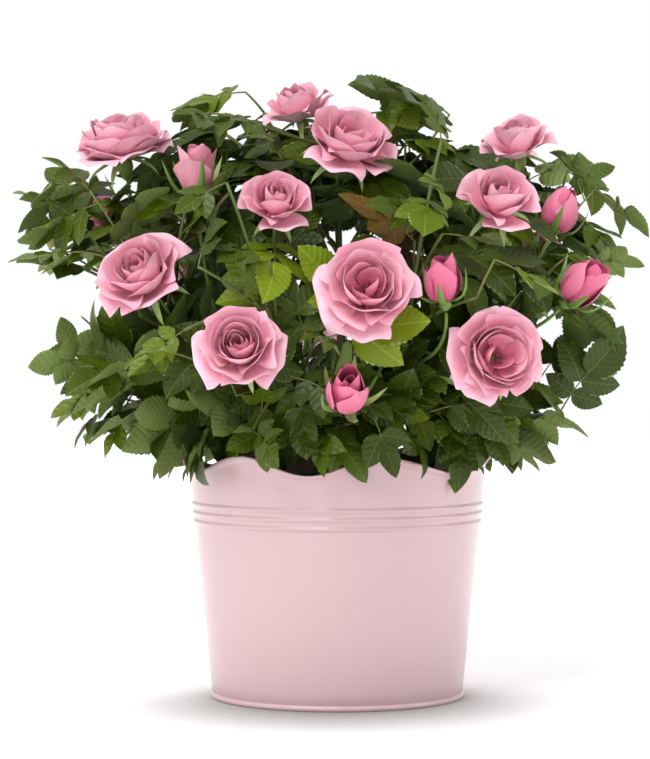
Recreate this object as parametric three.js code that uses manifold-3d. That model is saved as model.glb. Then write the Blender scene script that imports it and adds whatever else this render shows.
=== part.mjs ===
// A pot rose: a small rose bush with open blooms and buds, grown in a black nursery pot that stands
// in a round, tapered sheet-metal pot with a waved rim. Millimetres, +Z up. The origin is the centre
// of the pot's flat underside, and -Y is the front of the plant.
//
// The main stem stands on the soil. Boughs fan out from it, and each ends at its own leaf mass: a
// stem with twigs and leaves that keeps to its own cell of the crown. A flower stalk leaves the stem
// of a mass and carries one bloom or bud.
import * as THREE from "three";
import { mergeVertices } from "three/addons/utils/BufferGeometryUtils.js";
import Module from "manifold-3d";

const wasm = await Module();
wasm.setup();

// ---------- Driving dimensions: millimetres and degrees ----------

const SEED = 41;
const GAP = 0.4; // between neighbouring solids
const MERGE = 1e-3; // vertices this close are one
const SLIVER = 0.02; // edges shorter than this are merged where solids are joined
const LIMB_SAMPLES = 48; // places along a limb that are tested

const POT = {
  footRadius: 71, // of the cone at the ground
  slope: 0.1, // gain in radius for each millimetre of height
  wall: 1.3,
  floor: 1.6,
  seam: 1.1, // the rolled seam round the foot stands this far out
  seamHeight: 3,
  ribHeights: [100, 105, 110],
  ribWidth: 3.6,
  rib: 0.9,
  rimHeight: 134.5, // mean height of the waved rim
  wave: 5, // the rim rises and falls by this much
  waveFoot: 116, // below this height the wall is plain
  crestAngles: [15, 86, 146, 206, 264, 323], // of the rim's crests, from the front towards +X
  lip: 2.6, // how far the rim flares outwards
  lipHeight: 10,
  sides: 36,
};
const NURSERY_POT = {
  footRadius: 55,
  rimRadius: 66,
  height: 123,
  wall: 1.2,
  lip: 3,
  lipHeight: 5,
  sides: 18,
};
const SOIL = { height: 117, mound: 1.6, flatRadius: 17, sides: 18 };

const MAIN_STEM = { footRadius: 7, tipRadius: 5, flare: 5, height: 36, lean: [3, -2], sides: 10, steps: 4 };
const BOUGH = {
  footRadius: 3,
  tipRadius: 2.2,
  reach: 0.42, // share of the way from the main stem to the middle of its mass
  arch: 0.14,
  feet: [0.22, 0.72], // the lowest and highest in the ring, as shares of the main stem
  topFoot: 0.98, // of the bough that carries the top mass
  stagger: 5, // neighbours in the ring start at heights this many steps apart
  sides: 6,
  steps: 3,
};
const CROWN = { centre: [-7, 0, 238], size: [183, 160, 125], power: 2.8 };
const MASSES = { ring: 8, ringRadius: 92, ringHeight: 222, topHeight: 302, firstAngle: 22.5 };
const MASS_STEM = { footRadius: 2.1, tipRadius: 1.1, reach: 0.6, bend: 0.4, sides: 6, steps: 3 };
const TWIG = {
  footRadius: 1.1,
  tipRadius: 0.8,
  reach: [0.55, 0.86], // of the crown's
  starts: [0.06, 0.98], // the first and last, as shares of a mass's stem
  arches: [0.16, 0.32, -0.05], // tried in turn
  depth: 8, // of its target inside the cell of its mass
  count: 14,
  tries: 90,
  sides: 3,
  steps: 2,
};
const LEAF = {
  length: 58,
  width: 42,
  thickness: 1.5,
  widest: 0.42, // shares of its length
  thickest: 0.15,
  fold: 0.24, // rise of its edges, as a share of half its width
  droop: 0.14, // fall of its tip, as a share of its length
  sunk: 0.4, // its base lies this far behind the twig's middle
  spacing: 11,
  bare: 0.35, // share of the twig with no leaves
  last: 0.985, // place of the leaf at the tip
  turn: 137.5, // degrees round the twig from one leaf to the next
  sizes: [1, 0.82, 0.66, 0.52], // tried in turn
  turnsTried: 5, // for each size
};
const STALK = {
  footRadius: 1.5,
  tipRadius: 1.2,
  bend: 0.45,
  starts: [0.5, 0.65, 0.35, 0.8, 0.2, 0.95], // shares of a mass's stem, tried in turn
  sides: 5,
  steps: 3,
};

// A flower's form along its axis, in shares of its width. The profile is [radius, height] from the
// end of its hip to its heart. Its rims draw in between two petals to a share of their size.
const BLOOM = {
  profile: [
    [0, -0.26],
    [0.09, -0.14],
    [0.06, -0.03],
    [0.3, 0.06],
    [0.5, 0.2],
    [0.3, 0.19],
    [0.33, 0.36],
    [0.16, 0.27],
    [0.15, 0.42],
    [0, 0.36],
  ],
  rims: [4, 6], // their places in the profile
  drawnIn: 0.86,
  foot: -0.22, // where the stalk ends
  middle: 0.2,
  space: { bottom: -0.3, shoulder: 0.08, top: 0.46, radius: 0.5 }, // free of leaves
  spheres: [
    [-0.1, 0.2],
    [0.15, 0.5],
    [0.3, 0.46],
  ], // free of limbs: each [height, radius]
};
const BUD = {
  profile: [
    [0, -0.34],
    [0.2, -0.2],
    [0.14, -0.04],
    [0.66, 0.42],
    [0.3, 0.26],
    [0.45, 0.54],
    [0.37, 0.92],
    [0, 1.16],
  ],
  rims: [3],
  drawnIn: 0.5,
  foot: -0.3,
  middle: 0.6,
  space: { bottom: -0.4, shoulder: 0.2, top: 1.4, radius: 0.8 },
  spheres: [
    [0, 0.45],
    [0.5, 0.62],
    [1, 0.5],
  ],
};
const PETALS = 5; // in each ring of a flower

// Each front flower: its middle, its width, and the way that it faces: degrees from the front
// towards +X, and degrees above the horizon.
const FRONT_FLOWERS = [
  { kind: "rose", at: [-123, -12, 317], width: 56, facing: [-30, 72] },
  { kind: "rose", at: [-33, -85, 278], width: 42, facing: [5, 38] },
  { kind: "rose", at: [-23, -2, 336], width: 42, facing: [-35, 62] },
  { kind: "rose", at: [7, -52, 314], width: 54, facing: [22, 48] },
  { kind: "rose", at: [101, -2, 316], width: 44, facing: [-25, 60] },
  { kind: "rose", at: [88, -70, 280], width: 48, facing: [8, 42] },
  { kind: "rose", at: [-107, -80, 240], width: 55, facing: [-25, 34] },
  { kind: "rose", at: [-52, -122, 200], width: 52, facing: [-5, 20] },
  { kind: "rose", at: [15, -128, 231], width: 56, facing: [3, 22] },
  { kind: "rose", at: [85, -105, 195], width: 54, facing: [14, 8] },
  { kind: "bud", at: [-78, -40, 298], width: 25, facing: [-10, 80] },
  { kind: "bud", at: [55, -112, 235], width: 21, facing: [-20, 72] },
  { kind: "bud", at: [135, -60, 234], width: 24, facing: [55, 42] },
  { kind: "bud", at: [4, -132, 177], width: 23, facing: [0, 35] },
  { kind: "bud", at: [126, -14, 276], width: 22, facing: [50, 62] },
];
const BACK_FLOWERS = {
  count: 9,
  angles: [120, 248], // of the first and last
  heights: [248, 206, 292], // taken in turn
  reach: 0.8, // share of the crown's
  kinds: ["rose", "rose", "bud"], // taken in turn
  widths: { rose: 52, bud: 23 },
  tilt: 32,
};

const COLOURS = {
  paint: 0xe9c6ca,
  plastic: 0x1c2022,
  soil: 0x2e241c,
  bark: 0x6c5a34,
  cane: 0x5f7a33,
  leaf: 0x3f5a23,
  petal: 0xe58fa8,
};

// ---------- Small helpers ----------

const vector = (x, y, z) => new THREE.Vector3(x, y, z);
const { degToRad: radians, radToDeg: degrees, lerp: mix, smoothstep } = THREE.MathUtils;
const UP = vector(0, 0, 1);

// A seeded source of random numbers from 0 to 1.
function seededRandom(seed) {
  let state = seed >>> 0;
  return () => {
    state = (state + 0x6d2b79f5) >>> 0;
    let mixed = Math.imul(state ^ (state >>> 15), state | 1);
    mixed ^= mixed + Math.imul(mixed ^ (mixed >>> 7), mixed | 61);
    return ((mixed ^ (mixed >>> 14)) >>> 0) / 2 ** 32;
  };
}

// The unit vector at an angle from the front towards +X, and so many degrees above the horizon.
function heading(angle, elevation = 0) {
  const across = Math.cos(radians(elevation));
  const [x, y] = [Math.sin(radians(angle)) * across, -Math.cos(radians(angle)) * across];
  return vector(x, y, Math.sin(radians(elevation)));
}

// Moves each vertex of a geometry to where a function of its place and number puts it.
function reshape(geometry, movedTo) {
  const position = geometry.getAttribute("position");
  for (let i = 0; i < position.count; i++) {
    const place = movedTo(vector().fromBufferAttribute(position, i), i);
    position.setXYZ(i, place.x, place.y, place.z);
  }
  return geometry;
}

function solidOf(geometry) {
  const bare = geometry.clone();
  for (const name of ["normal", "uv"]) bare.deleteAttribute(name);
  const merged = mergeVertices(bare, MERGE);
  const vertProperties = merged.getAttribute("position").array;
  const triVerts = new Uint32Array(merged.index.array);
  return new wasm.Manifold(new wasm.Mesh({ numProp: 3, vertProperties, triVerts }));
}

// Joins solids, without the slivers that a join leaves, and keeps the largest body, which drops any
// loose scrap.
function fused(solids) {
  const bodies = wasm.Manifold.union(solids).asOriginal().simplify(SLIVER).decompose();
  return bodies.reduce((best, body) => (body.volume() > best.volume() ? body : best));
}

function meshOf(name, solid, color, roughness, metalness = 0) {
  const made = solid.getMesh();
  const geometry = new THREE.BufferGeometry()
    .setAttribute("position", new THREE.BufferAttribute(made.vertProperties, 3))
    .setIndex(new THREE.BufferAttribute(made.triVerts, 1));
  geometry.computeVertexNormals();
  const mesh = new THREE.Mesh(geometry, new THREE.MeshStandardMaterial({ color, roughness, metalness }));
  mesh.name = name;
  return mesh;
}

// ---------- Round things: a profile of [radius, height] turned about +Z ----------

function turned(profile, sides) {
  const points = profile.map(([radius, height]) => new THREE.Vector2(radius, height));
  return new THREE.LatheGeometry(points, sides).rotateX(Math.PI / 2);
}

// From -1 at the rim's troughs to 1 at its crests, at an angle from the front towards +X.
function rimWave(angle) {
  const first = POT.crestAngles[0];
  const last = POT.crestAngles.at(-1);
  const crests = [last - 360, ...POT.crestAngles, first + 360];
  const next = crests.findIndex((crest) => crest > angle);
  const [before, after] = [crests[next - 1], crests[next]];
  return Math.cos((2 * Math.PI * (angle - before)) / (after - before));
}

function coneRadius(height) {
  return POT.footRadius + POT.slope * height;
}

// The sheet-metal pot: a plain turned wall with a seam and ribs, whose top is then waved and flared.
function potGeometry() {
  const outside = (height, proud = 0) => [coneRadius(height) + proud, height];
  const inside = (height) => [coneRadius(height) - POT.wall, height];
  const [lowest, ...others] = POT.ribHeights;
  const half = POT.ribWidth / 2;
  const ribs = [outside(lowest - half), outside(lowest, POT.rib), outside(lowest + half)];
  for (const height of others) ribs.push(outside(height, POT.rib), outside(height + half));
  const foot = [[0, 0], outside(0), outside(POT.seamHeight / 2, POT.seam), outside(POT.seamHeight)];
  const rimHeights = [POT.waveFoot, POT.rimHeight - POT.lipHeight / 2, POT.rimHeight];
  const outer = [...foot, ...ribs, ...rimHeights.map((height) => outside(height))];
  const inner = [...rimHeights.reverse(), POT.floor].map(inside);
  return reshape(turned([...outer, ...inner, [0, POT.floor]], POT.sides), (place) => {
    const rise = Math.max(0, (place.z - POT.waveFoot) / (POT.rimHeight - POT.waveFoot));
    const flare = Math.max(0, 1 - (POT.rimHeight - place.z) / POT.lipHeight);
    const radius = Math.max(MERGE, Math.hypot(place.x, place.y));
    const share = 1 + (POT.lip * flare ** 2) / radius;
    const angle = (degrees(Math.atan2(place.x, -place.y)) + 360) % 360;
    return vector(place.x * share, place.y * share, place.z + POT.wave * rise * rimWave(angle));
  });
}

const nurseryFoot = POT.floor + GAP;
const nurseryFloor = nurseryFoot + NURSERY_POT.wall;

function nurseryPotGeometry() {
  const { footRadius, rimRadius, height, wall, lip, lipHeight, sides } = NURSERY_POT;
  const profile = [
    [0, nurseryFoot],
    [footRadius, nurseryFoot],
    [rimRadius, height - lipHeight],
    [rimRadius + lip, height - lipHeight],
    [rimRadius + lip, height],
    [rimRadius - wall, height],
    [footRadius - wall, nurseryFloor],
    [0, nurseryFloor],
  ];
  return turned(profile, sides);
}

// The soil fills the nursery pot, and is flat under the main stem.
function soilGeometry() {
  const { wall, footRadius, rimRadius, height } = NURSERY_POT;
  const wallRadius = (z) => mix(footRadius, rimRadius, (z - nurseryFoot) / (height - nurseryFoot)) - wall;
  const bottom = nurseryFloor + GAP;
  const profile = [
    [0, bottom],
    [wallRadius(bottom) - 2 * GAP, bottom],
    [wallRadius(SOIL.height) - 2 * GAP, SOIL.height],
    [SOIL.flatRadius, SOIL.height + SOIL.mound],
    [0, SOIL.height + SOIL.mound],
  ];
  return turned(profile, SOIL.sides);
}

// ---------- Limbs: a cylinder bent along a curve, tapering from foot to tip ----------

function limbGeometry(curve, radiusAt, sides, steps) {
  const span = curve.getPoint(1).sub(curve.getPoint(0));
  const aside = vector(-span.y, span.x, 0.3 * span.length());
  return reshape(new THREE.CylinderGeometry(1, 1, 1, sides, steps), (place) => {
    const share = place.y + 0.5;
    const along = curve.getTangent(share);
    const normal = aside.clone().cross(along).normalize();
    const binormal = normal.clone().cross(along);
    const radius = radiusAt(share);
    return curve
      .getPoint(share)
      .addScaledVector(normal, place.x * radius)
      .addScaledVector(binormal, place.z * radius);
  });
}

// A limb as a record: its curve, its solid, a wider solid that leaves keep out of, and the spheres
// along it that other limbs keep out of. Its foot may flare.
function makeLimb(curve, { footRadius, tipRadius, sides, steps, flare = 0 }) {
  const radiusAt = (share) => mix(footRadius, tipRadius, share) + flare * Math.exp(-9 * share);
  const widerAt = (share) => radiusAt(share) + 1.5 * GAP;
  const spheres = [];
  for (let i = 0; i <= LIMB_SAMPLES; i++) {
    const share = i / LIMB_SAMPLES;
    spheres.push({ place: curve.getPoint(share), radius: radiusAt(share) });
  }
  const solid = solidOf(limbGeometry(curve, radiusAt, sides, steps));
  const clearance = solidOf(limbGeometry(curve, widerAt, sides, steps));
  return { curve, spheres, solid, clearance };
}

function arched(from, to, arch) {
  const middle = from.clone().lerp(to, 0.5).addScaledVector(UP, arch * from.distanceTo(to));
  return new THREE.QuadraticBezierCurve3(from, middle, to);
}

// True where a limb of a radius along a curve keeps out of every sphere.
function keepsClear(curve, radius, spheres) {
  for (let i = 0; i <= LIMB_SAMPLES; i++) {
    const place = curve.getPoint(i / LIMB_SAMPLES);
    const isIn = (sphere) => place.distanceTo(sphere.place) < sphere.radius + radius + 2 * GAP;
    if (spheres.some(isIn)) return false;
  }
  return true;
}

// ---------- The crown and its cells ----------

const crownCentre = vector(...CROWN.centre);

// 1 on the crown's outline, less inside it.
function crownShare(place) {
  const offset = place.clone().sub(crownCentre).divide(vector(...CROWN.size));
  const sum = offset.toArray().reduce((total, value) => total + Math.abs(value) ** CROWN.power, 0);
  return sum ** (1 / CROWN.power);
}

// The point on a ray from the crown's centre at a share of the way to its outline.
function crownPoint(direction, share) {
  const reach = crownShare(crownCentre.clone().add(direction));
  return crownCentre.clone().addScaledVector(direction, share / reach);
}

const massCentres = [vector(0, 0, MASSES.topHeight)];
for (let i = 0; i < MASSES.ring; i++) {
  const centre = heading(MASSES.firstAngle + (i * 360) / MASSES.ring).multiplyScalar(MASSES.ringRadius);
  massCentres.push(centre.setZ(MASSES.ringHeight));
}

// How far a place lies inside the cell of a mass: the cell's walls stand halfway to the other centres.
function depthInCell(place, index) {
  const centre = massCentres[index];
  const depths = massCentres
    .filter((other) => other !== centre)
    .map((other) => {
      const across = other.clone().sub(centre).normalize();
      return centre.clone().lerp(other, 0.5).sub(place).dot(across);
    });
  return Math.min(...depths);
}

function cellOf(place) {
  const distances = massCentres.map((centre) => centre.distanceTo(place));
  return distances.indexOf(Math.min(...distances));
}

// ---------- Leaves ----------

// One leaf of eight faces: a folded blade whose tip bends down. It is thickest close to its base, so
// that it holds well to its twig.
function leafGeometry(base, { direction, normal }, scale) {
  const length = LEAF.length * scale;
  const halfWidth = (LEAF.width * scale) / 2;
  const side = normal.clone().cross(direction).normalize();
  const face = direction.clone().cross(side).normalize();
  return reshape(new THREE.OctahedronGeometry(1, 0), (corner) => {
    let [along, lift] = [-LEAF.sunk, 0];
    if (corner.x > 0.5) [along, lift] = [length, -LEAF.droop * length];
    if (Math.abs(corner.y) > 0.5) [along, lift] = [LEAF.widest * length, LEAF.fold * halfWidth];
    if (Math.abs(corner.z) > 0.5) [along, lift] = [LEAF.thickest * length, (corner.z * LEAF.thickness) / 2];
    return base
      .clone()
      .addScaledVector(direction, along)
      .addScaledVector(side, corner.y * halfWidth)
      .addScaledVector(face, lift);
  });
}

// A leaf's direction and upper side. It stands out round its twig at an angle, and shows its upper
// side outwards and up. A leaf at the tip of a twig carries on along it, and low leaves hang.
function leafPose(place, tangent, angle, isTip, random) {
  const heart = crownCentre.clone().setZ(CROWN.centre[2] - 70);
  const outward = place.clone().sub(heart).normalize();
  const aside = outward.clone().cross(UP).normalize();
  const above = aside.clone().cross(outward);
  const direction = isTip
    ? tangent.clone().addScaledVector(outward, 0.5)
    : outward
        .clone()
        .multiplyScalar(0.3)
        .addScaledVector(aside, Math.cos(angle))
        .addScaledVector(above, Math.sin(angle));
  const low = smoothstep(CROWN.centre[2] - place.z, -20, 80);
  direction.addScaledVector(UP, -0.1 - 0.45 * low);
  const normal = outward.multiplyScalar(0.8).addScaledVector(UP, 0.55);
  normal.addScaledVector(aside, 0.5 * (random() - 0.5));
  return { direction: direction.normalize(), normal: normal.normalize() };
}

// ---------- Flowers ----------

// A flower along +Z from the base of its petals. The petals of each ring stand over the gaps of the
// ring outside it.
function headSolid(form, width) {
  const profile = form.profile.map(([radius, height]) => [radius * width, height * width]);
  const geometry = reshape(turned(profile, 2 * PETALS), (place, i) => {
    const rim = form.rims.indexOf(i % profile.length);
    const side = Math.floor(i / profile.length);
    const isBetween = rim >= 0 && (side + rim) % 2 === 1;
    return isBetween ? place.multiplyScalar(form.drawnIn) : place;
  });
  return solidOf(geometry);
}

// The space of a flower along +Z, which leaves keep out of.
function flowerSpace(form, width) {
  const [bottom, shoulder, top] = ["bottom", "shoulder", "top"].map((end) => form.space[end] * width);
  const radius = form.space.radius * width + 2 * GAP;
  const profile = [
    [0, bottom],
    [radius / 2, bottom],
    [radius, shoulder],
    [radius, top],
    [0, top],
  ];
  return turned(profile, 8);
}

function backFlowers() {
  const { count, angles, heights, reach, kinds, widths, tilt } = BACK_FLOWERS;
  return Array.from({ length: count }, (_, i) => {
    const kind = kinds[i % kinds.length];
    const angle = mix(...angles, i / (count - 1));
    const rise = heights[i % heights.length] - CROWN.centre[2];
    const direction = heading(angle).multiplyScalar(CROWN.size[0]).setZ(rise);
    return { kind, at: crownPoint(direction, reach).toArray(), width: widths[kind], facing: [angle, tilt] };
  });
}

// ---------- Growing the plant ----------

const soilTop = SOIL.height + SOIL.mound;
const stemFoot = vector(0, 0, soilTop + GAP);
const stemTip = vector(...MAIN_STEM.lean, stemFoot.z + MAIN_STEM.height);
const mainStem = makeLimb(new THREE.LineCurve3(stemFoot, stemTip), MAIN_STEM);

// A bough runs from the main stem towards its mass, and the mass's stem carries on from its tip.
const masses = massCentres.map((centre, i) => {
  const turn = ((i * BOUGH.stagger) % MASSES.ring) / MASSES.ring;
  const foot = mainStem.curve.getPoint(i === 0 ? BOUGH.topFoot : mix(...BOUGH.feet, turn));
  const boughCurve = arched(foot, foot.clone().lerp(centre, BOUGH.reach), BOUGH.arch);
  const onward = boughCurve.getTangent(1);
  const start = boughCurve.getPoint(1).addScaledVector(onward, GAP);
  const end = crownPoint(centre.clone().sub(crownCentre), MASS_STEM.reach);
  const bend = start.clone().addScaledVector(onward, MASS_STEM.bend * start.distanceTo(end));
  const stemCurve = new THREE.QuadraticBezierCurve3(start, bend, end);
  return { index: i, bough: makeLimb(boughCurve, BOUGH), stem: makeLimb(stemCurve, MASS_STEM) };
});

// A flower stalk leaves the stem of the mass whose cell its flower is in, and ends along the way
// that the flower faces. It takes the first start from which it keeps clear of all that is there.
function growFlower({ kind, at, width, facing }, name, grown) {
  const form = kind === "bud" ? BUD : BLOOM;
  const axis = heading(...facing);
  const base = vector(...at).addScaledVector(axis, -form.middle * width);
  const end = base.clone().addScaledVector(axis, form.foot * width);
  const mass = masses[cellOf(base)];
  const boughs = masses.map((other) => other.bough);
  const stems = masses.filter((other) => other !== mass).map((other) => other.stem);
  const stalks = grown.map((other) => other.stalk);
  const spheres = [mainStem, ...boughs, ...stems, ...stalks, ...grown].flatMap((other) => other.spheres);
  const ways = STALK.starts.map((share) => {
    const start = mass.stem.curve.getPoint(share);
    const bend = end.clone().addScaledVector(axis, -STALK.bend * start.distanceTo(end));
    return new THREE.QuadraticBezierCurve3(start, bend, end);
  });
  const curve = ways.find((way) => keepsClear(way, STALK.footRadius, spheres));
  if (!curve) throw new Error(`${name} has no clear way for its stalk`);
  const turn = new THREE.Quaternion().setFromUnitVectors(UP, axis);
  const matrix = new THREE.Matrix4().compose(base, turn, vector(1, 1, 1));
  return {
    name,
    mass,
    stalk: makeLimb(curve, STALK),
    head: headSolid(form, width).transform(matrix.elements),
    space: solidOf(flowerSpace(form, width).applyMatrix4(matrix)),
    spheres: form.spheres.map(([height, radius]) => ({
      place: base.clone().addScaledVector(axis, height * width),
      radius: radius * width,
    })),
  };
}

const flowers = [];
const counts = { rose: 0, bud: 0 };
for (const flower of [...FRONT_FLOWERS, ...backFlowers()]) {
  counts[flower.kind] += 1;
  flowers.push(growFlower(flower, `${flower.kind}_${counts[flower.kind]}`, flowers));
}

// Places for the tips of a mass's twigs: of many seeded tries in its cell, the furthest apart.
function twigTargets(mass, random) {
  const tries = [];
  while (tries.length < TWIG.tries) {
    const direction = vector(random() - 0.5, random() - 0.5, random() - 0.5);
    const place = crownPoint(direction, mix(...TWIG.reach, Math.sqrt(random())));
    if (depthInCell(place, mass.index) > TWIG.depth) tries.push(place);
  }
  const chosen = [mass.stem.curve.getPoint(1)];
  while (chosen.length <= TWIG.count) {
    const spreads = tries.map((place) => Math.min(...chosen.map((other) => other.distanceTo(place))));
    chosen.push(tries[spreads.indexOf(Math.max(...spreads))]);
  }
  return chosen.slice(1);
}

// The twigs of a mass, each to its own target. A twig leaves the mass's stem at the nearest start
// that is still free and gives it a clear way between limbs and flowers, or it is left out.
function growTwigs(mass, random) {
  const limbs = [mainStem, ...masses.map((other) => other.bough), ...flowers.map((flower) => flower.stalk)];
  const spheres = [...limbs, ...flowers].flatMap((other) => other.spheres);
  const shares = Array.from({ length: TWIG.count }, (_, i) => mix(...TWIG.starts, i / (TWIG.count - 1)));
  let starts = shares.map((share) => mass.stem.curve.getPoint(share));
  const twigs = [];
  for (const target of twigTargets(mass, random)) {
    starts.sort((one, other) => one.distanceTo(target) - other.distanceTo(target));
    const ways = starts.flatMap((start) => TWIG.arches.map((arch) => arched(start, target, arch)));
    const curve = ways.find((way) => keepsClear(way, TWIG.footRadius, spheres));
    if (!curve) continue;
    starts = starts.filter((start) => !start.equals(curve.v0));
    twigs.push(makeLimb(curve, TWIG));
  }
  return twigs;
}

// True where a leaf keeps to its mass's space and to the crown.
function staysInside(geometry, mass) {
  const position = geometry.getAttribute("position");
  for (let i = 0; i < position.count; i++) {
    const corner = vector().fromBufferAttribute(position, i);
    if (depthInCell(corner, mass.index) < GAP || crownShare(corner) > 1) return false;
  }
  return true;
}

// The leaves along one twig, in a spiral round it, with one at its tip. A leaf that would leave the
// mass's space or the crown, or touch a limb, a flower, the pot or another leaf, is tried at other
// turns and sizes and then left out.
function growLeaves(twig, mass, random, obstacles) {
  const count = Math.max(2, Math.round(((1 - LEAF.bare) * twig.curve.getLength()) / LEAF.spacing));
  const firstTurn = random() * 360;
  const leaves = [];
  for (let i = count; i > 0; i--) {
    const share = mix(LEAF.bare, LEAF.last, i / count);
    const place = twig.curve.getPoint(share);
    const tangent = twig.curve.getTangent(share);
    const scale = mix(0.85, 1.05, random());
    for (let tried = 0; tried < LEAF.sizes.length * LEAF.turnsTried; tried++) {
      const size = scale * LEAF.sizes[Math.floor(tried / LEAF.turnsTried)];
      const turn = firstTurn + i * LEAF.turn + (tried * 360) / LEAF.turnsTried;
      const pose = leafPose(place, tangent, radians(turn), i === count, random);
      const geometry = leafGeometry(place, pose, size);
      if (!staysInside(geometry, mass)) continue;
      const leaf = solidOf(geometry);
      if ([...obstacles, ...leaves].some((obstacle) => !leaf.intersect(obstacle).isEmpty())) continue;
      leaves.push(leaf);
      break;
    }
  }
  return leaves;
}

// What the leaves of every mass keep out of: the pot and what it holds, the limbs and the flowers.
function leafObstacles() {
  const rimRadius = coneRadius(POT.rimHeight) + POT.lip + 1;
  const rimTop = POT.rimHeight + POT.wave + 1;
  const profile = [
    [0, -1],
    [POT.footRadius + 2, -1],
    [rimRadius, rimTop],
    [NURSERY_POT.rimRadius - 6, rimTop],
    [NURSERY_POT.rimRadius - 8, soilTop + 1],
    [0, soilTop + 1],
  ];
  const stalks = flowers.flatMap((flower) => [flower.space, flower.stalk.clearance]);
  const boughs = masses.map((mass) => mass.bough.clearance);
  return [solidOf(turned(profile, POT.sides)), mainStem.clearance, ...boughs, ...stalks];
}

// The stem, twigs and leaves of one mass as one solid.
function massSolid(mass, obstacles) {
  const random = seededRandom(SEED + mass.index);
  const twigs = growTwigs(mass, random);
  const solids = [mass.stem, ...twigs].map((limb) => limb.solid);
  for (const twig of twigs) {
    const others = solids.filter((solid) => solid !== twig.solid);
    solids.push(...growLeaves(twig, mass, random, [...obstacles, ...others]));
  }
  return fused(solids);
}

// ---------- The assembly ----------

// The stem's flare is cut off level with the soil.
const ground = solidOf(new THREE.BoxGeometry(80, 80, 20).translate(0, 0, stemFoot.z - 10));

const plant = new THREE.Group();
plant.add(meshOf("pot", solidOf(potGeometry()), COLOURS.paint, 0.25, 0.2));
plant.add(meshOf("nursery_pot", solidOf(nurseryPotGeometry()), COLOURS.plastic, 0.5));
plant.add(meshOf("potting_soil", solidOf(soilGeometry()), COLOURS.soil, 0.95));
plant.add(meshOf("main_stem", mainStem.solid.subtract(ground), COLOURS.bark, 0.8));

for (const { index, bough } of masses) {
  const solid = fused([bough.solid.subtract(mainStem.clearance)]);
  plant.add(meshOf(`bough_${index + 1}`, solid, COLOURS.cane, 0.6));
}
for (const { name, mass, stalk, head } of flowers) {
  const trimmed = fused([stalk.solid.subtract(mass.stem.clearance)]);
  plant.add(meshOf(name, fused([trimmed, head]), COLOURS.petal, 0.6));
}
const obstacles = leafObstacles();
for (const mass of masses) {
  plant.add(meshOf(`leaf_mass_${mass.index + 1}`, massSolid(mass, obstacles), COLOURS.leaf, 0.55));
}

export default plant;
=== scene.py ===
"""A pot rose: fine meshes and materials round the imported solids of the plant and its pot.

Lengths are in millimetres and angles in degrees until a mesh is made, which turns them into metres.
+Z is up, -Y is the front, and the origin is the centre of the pot's underside. The limbs, flowers and
twigs grow by the rule of the part's source, so each mesh lies where its solid is. Leaves and finer
shoots then grow on from the twigs.
"""

import math
from functools import lru_cache

import bpy
import numpy as np
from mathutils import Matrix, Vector, noise


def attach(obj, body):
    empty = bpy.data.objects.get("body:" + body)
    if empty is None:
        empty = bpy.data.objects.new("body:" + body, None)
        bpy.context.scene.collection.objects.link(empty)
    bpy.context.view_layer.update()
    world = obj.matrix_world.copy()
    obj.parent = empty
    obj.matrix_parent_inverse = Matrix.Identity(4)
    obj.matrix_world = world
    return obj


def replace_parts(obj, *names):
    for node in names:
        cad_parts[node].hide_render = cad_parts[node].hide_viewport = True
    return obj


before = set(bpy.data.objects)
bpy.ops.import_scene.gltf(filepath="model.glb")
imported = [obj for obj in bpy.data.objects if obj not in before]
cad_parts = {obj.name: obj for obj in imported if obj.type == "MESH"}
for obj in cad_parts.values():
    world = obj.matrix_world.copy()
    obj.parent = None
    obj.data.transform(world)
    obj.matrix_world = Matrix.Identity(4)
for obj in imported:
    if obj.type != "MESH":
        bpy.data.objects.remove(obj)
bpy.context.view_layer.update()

UP = np.array([0.0, 0.0, 1.0])

# ---------- Driving values that the part's source also has ----------

MM = 0.001
SEED = 41
GAP = 0.4
LIMB_SAMPLES = 48
FLARE_FALL = 9  # how fast a limb's flare dies away from its foot

POT = {
    "foot_radius": 71,
    "slope": 0.1,
    "wall": 1.3,
    "floor": 1.6,
    "seam": 1.1,
    "seam_height": 3,
    "rib_heights": [100, 105, 110],
    "rib_width": 3.6,
    "rib": 0.9,
    "rim_height": 134.5,
    "wave": 5,
    "wave_foot": 116,
    "crest_angles": [15, 86, 146, 206, 264, 323],
    "lip": 2.6,
    "lip_height": 10,
}
NURSERY_POT = {"foot_radius": 55, "rim_radius": 66, "height": 123, "wall": 1.2, "lip": 3, "lip_height": 5}
SOIL = {"height": 117, "mound": 1.6}

MAIN_STEM = {"foot": 7, "tip": 5, "flare": 5, "height": 36, "lean": (3, -2)}
BOUGH = {"foot": 3, "tip": 2.2, "reach": 0.42, "arch": 0.14, "feet": (0.22, 0.72), "top_foot": 0.98}
BOUGH_STAGGER = 5
CROWN = {"centre": np.array([-7.0, 0, 238]), "size": np.array([183.0, 160, 125]), "power": 2.8}
MASSES = {"ring": 8, "ring_radius": 92, "ring_height": 222, "top_height": 302, "first_angle": 22.5}
MASS_STEM = {"foot": 2.1, "tip": 1.1, "reach": 0.6, "bend": 0.4}
TWIG = {
    "foot": 1.1,
    "tip": 0.8,
    "reach": (0.55, 0.86),
    "starts": (0.06, 0.98),
    "arches": (0.16, 0.32, -0.05),
    "depth": 8,
    "count": 14,
    "tries": 90,
}
STALK = {"foot": 1.5, "tip": 1.2, "bend": 0.45, "starts": (0.5, 0.65, 0.35, 0.8, 0.2, 0.95)}

# Each form: where its stalk ends and its middle lies along its axis, and the spheres that limbs keep
# out of, each (height, radius), all in shares of the flower's width.
FORMS = {
    "rose": {"foot": -0.22, "middle": 0.2, "spheres": [(-0.1, 0.2), (0.15, 0.5), (0.3, 0.46)]},
    "bud": {"foot": -0.3, "middle": 0.6, "spheres": [(0, 0.45), (0.5, 0.62), (1, 0.5)]},
}

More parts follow.
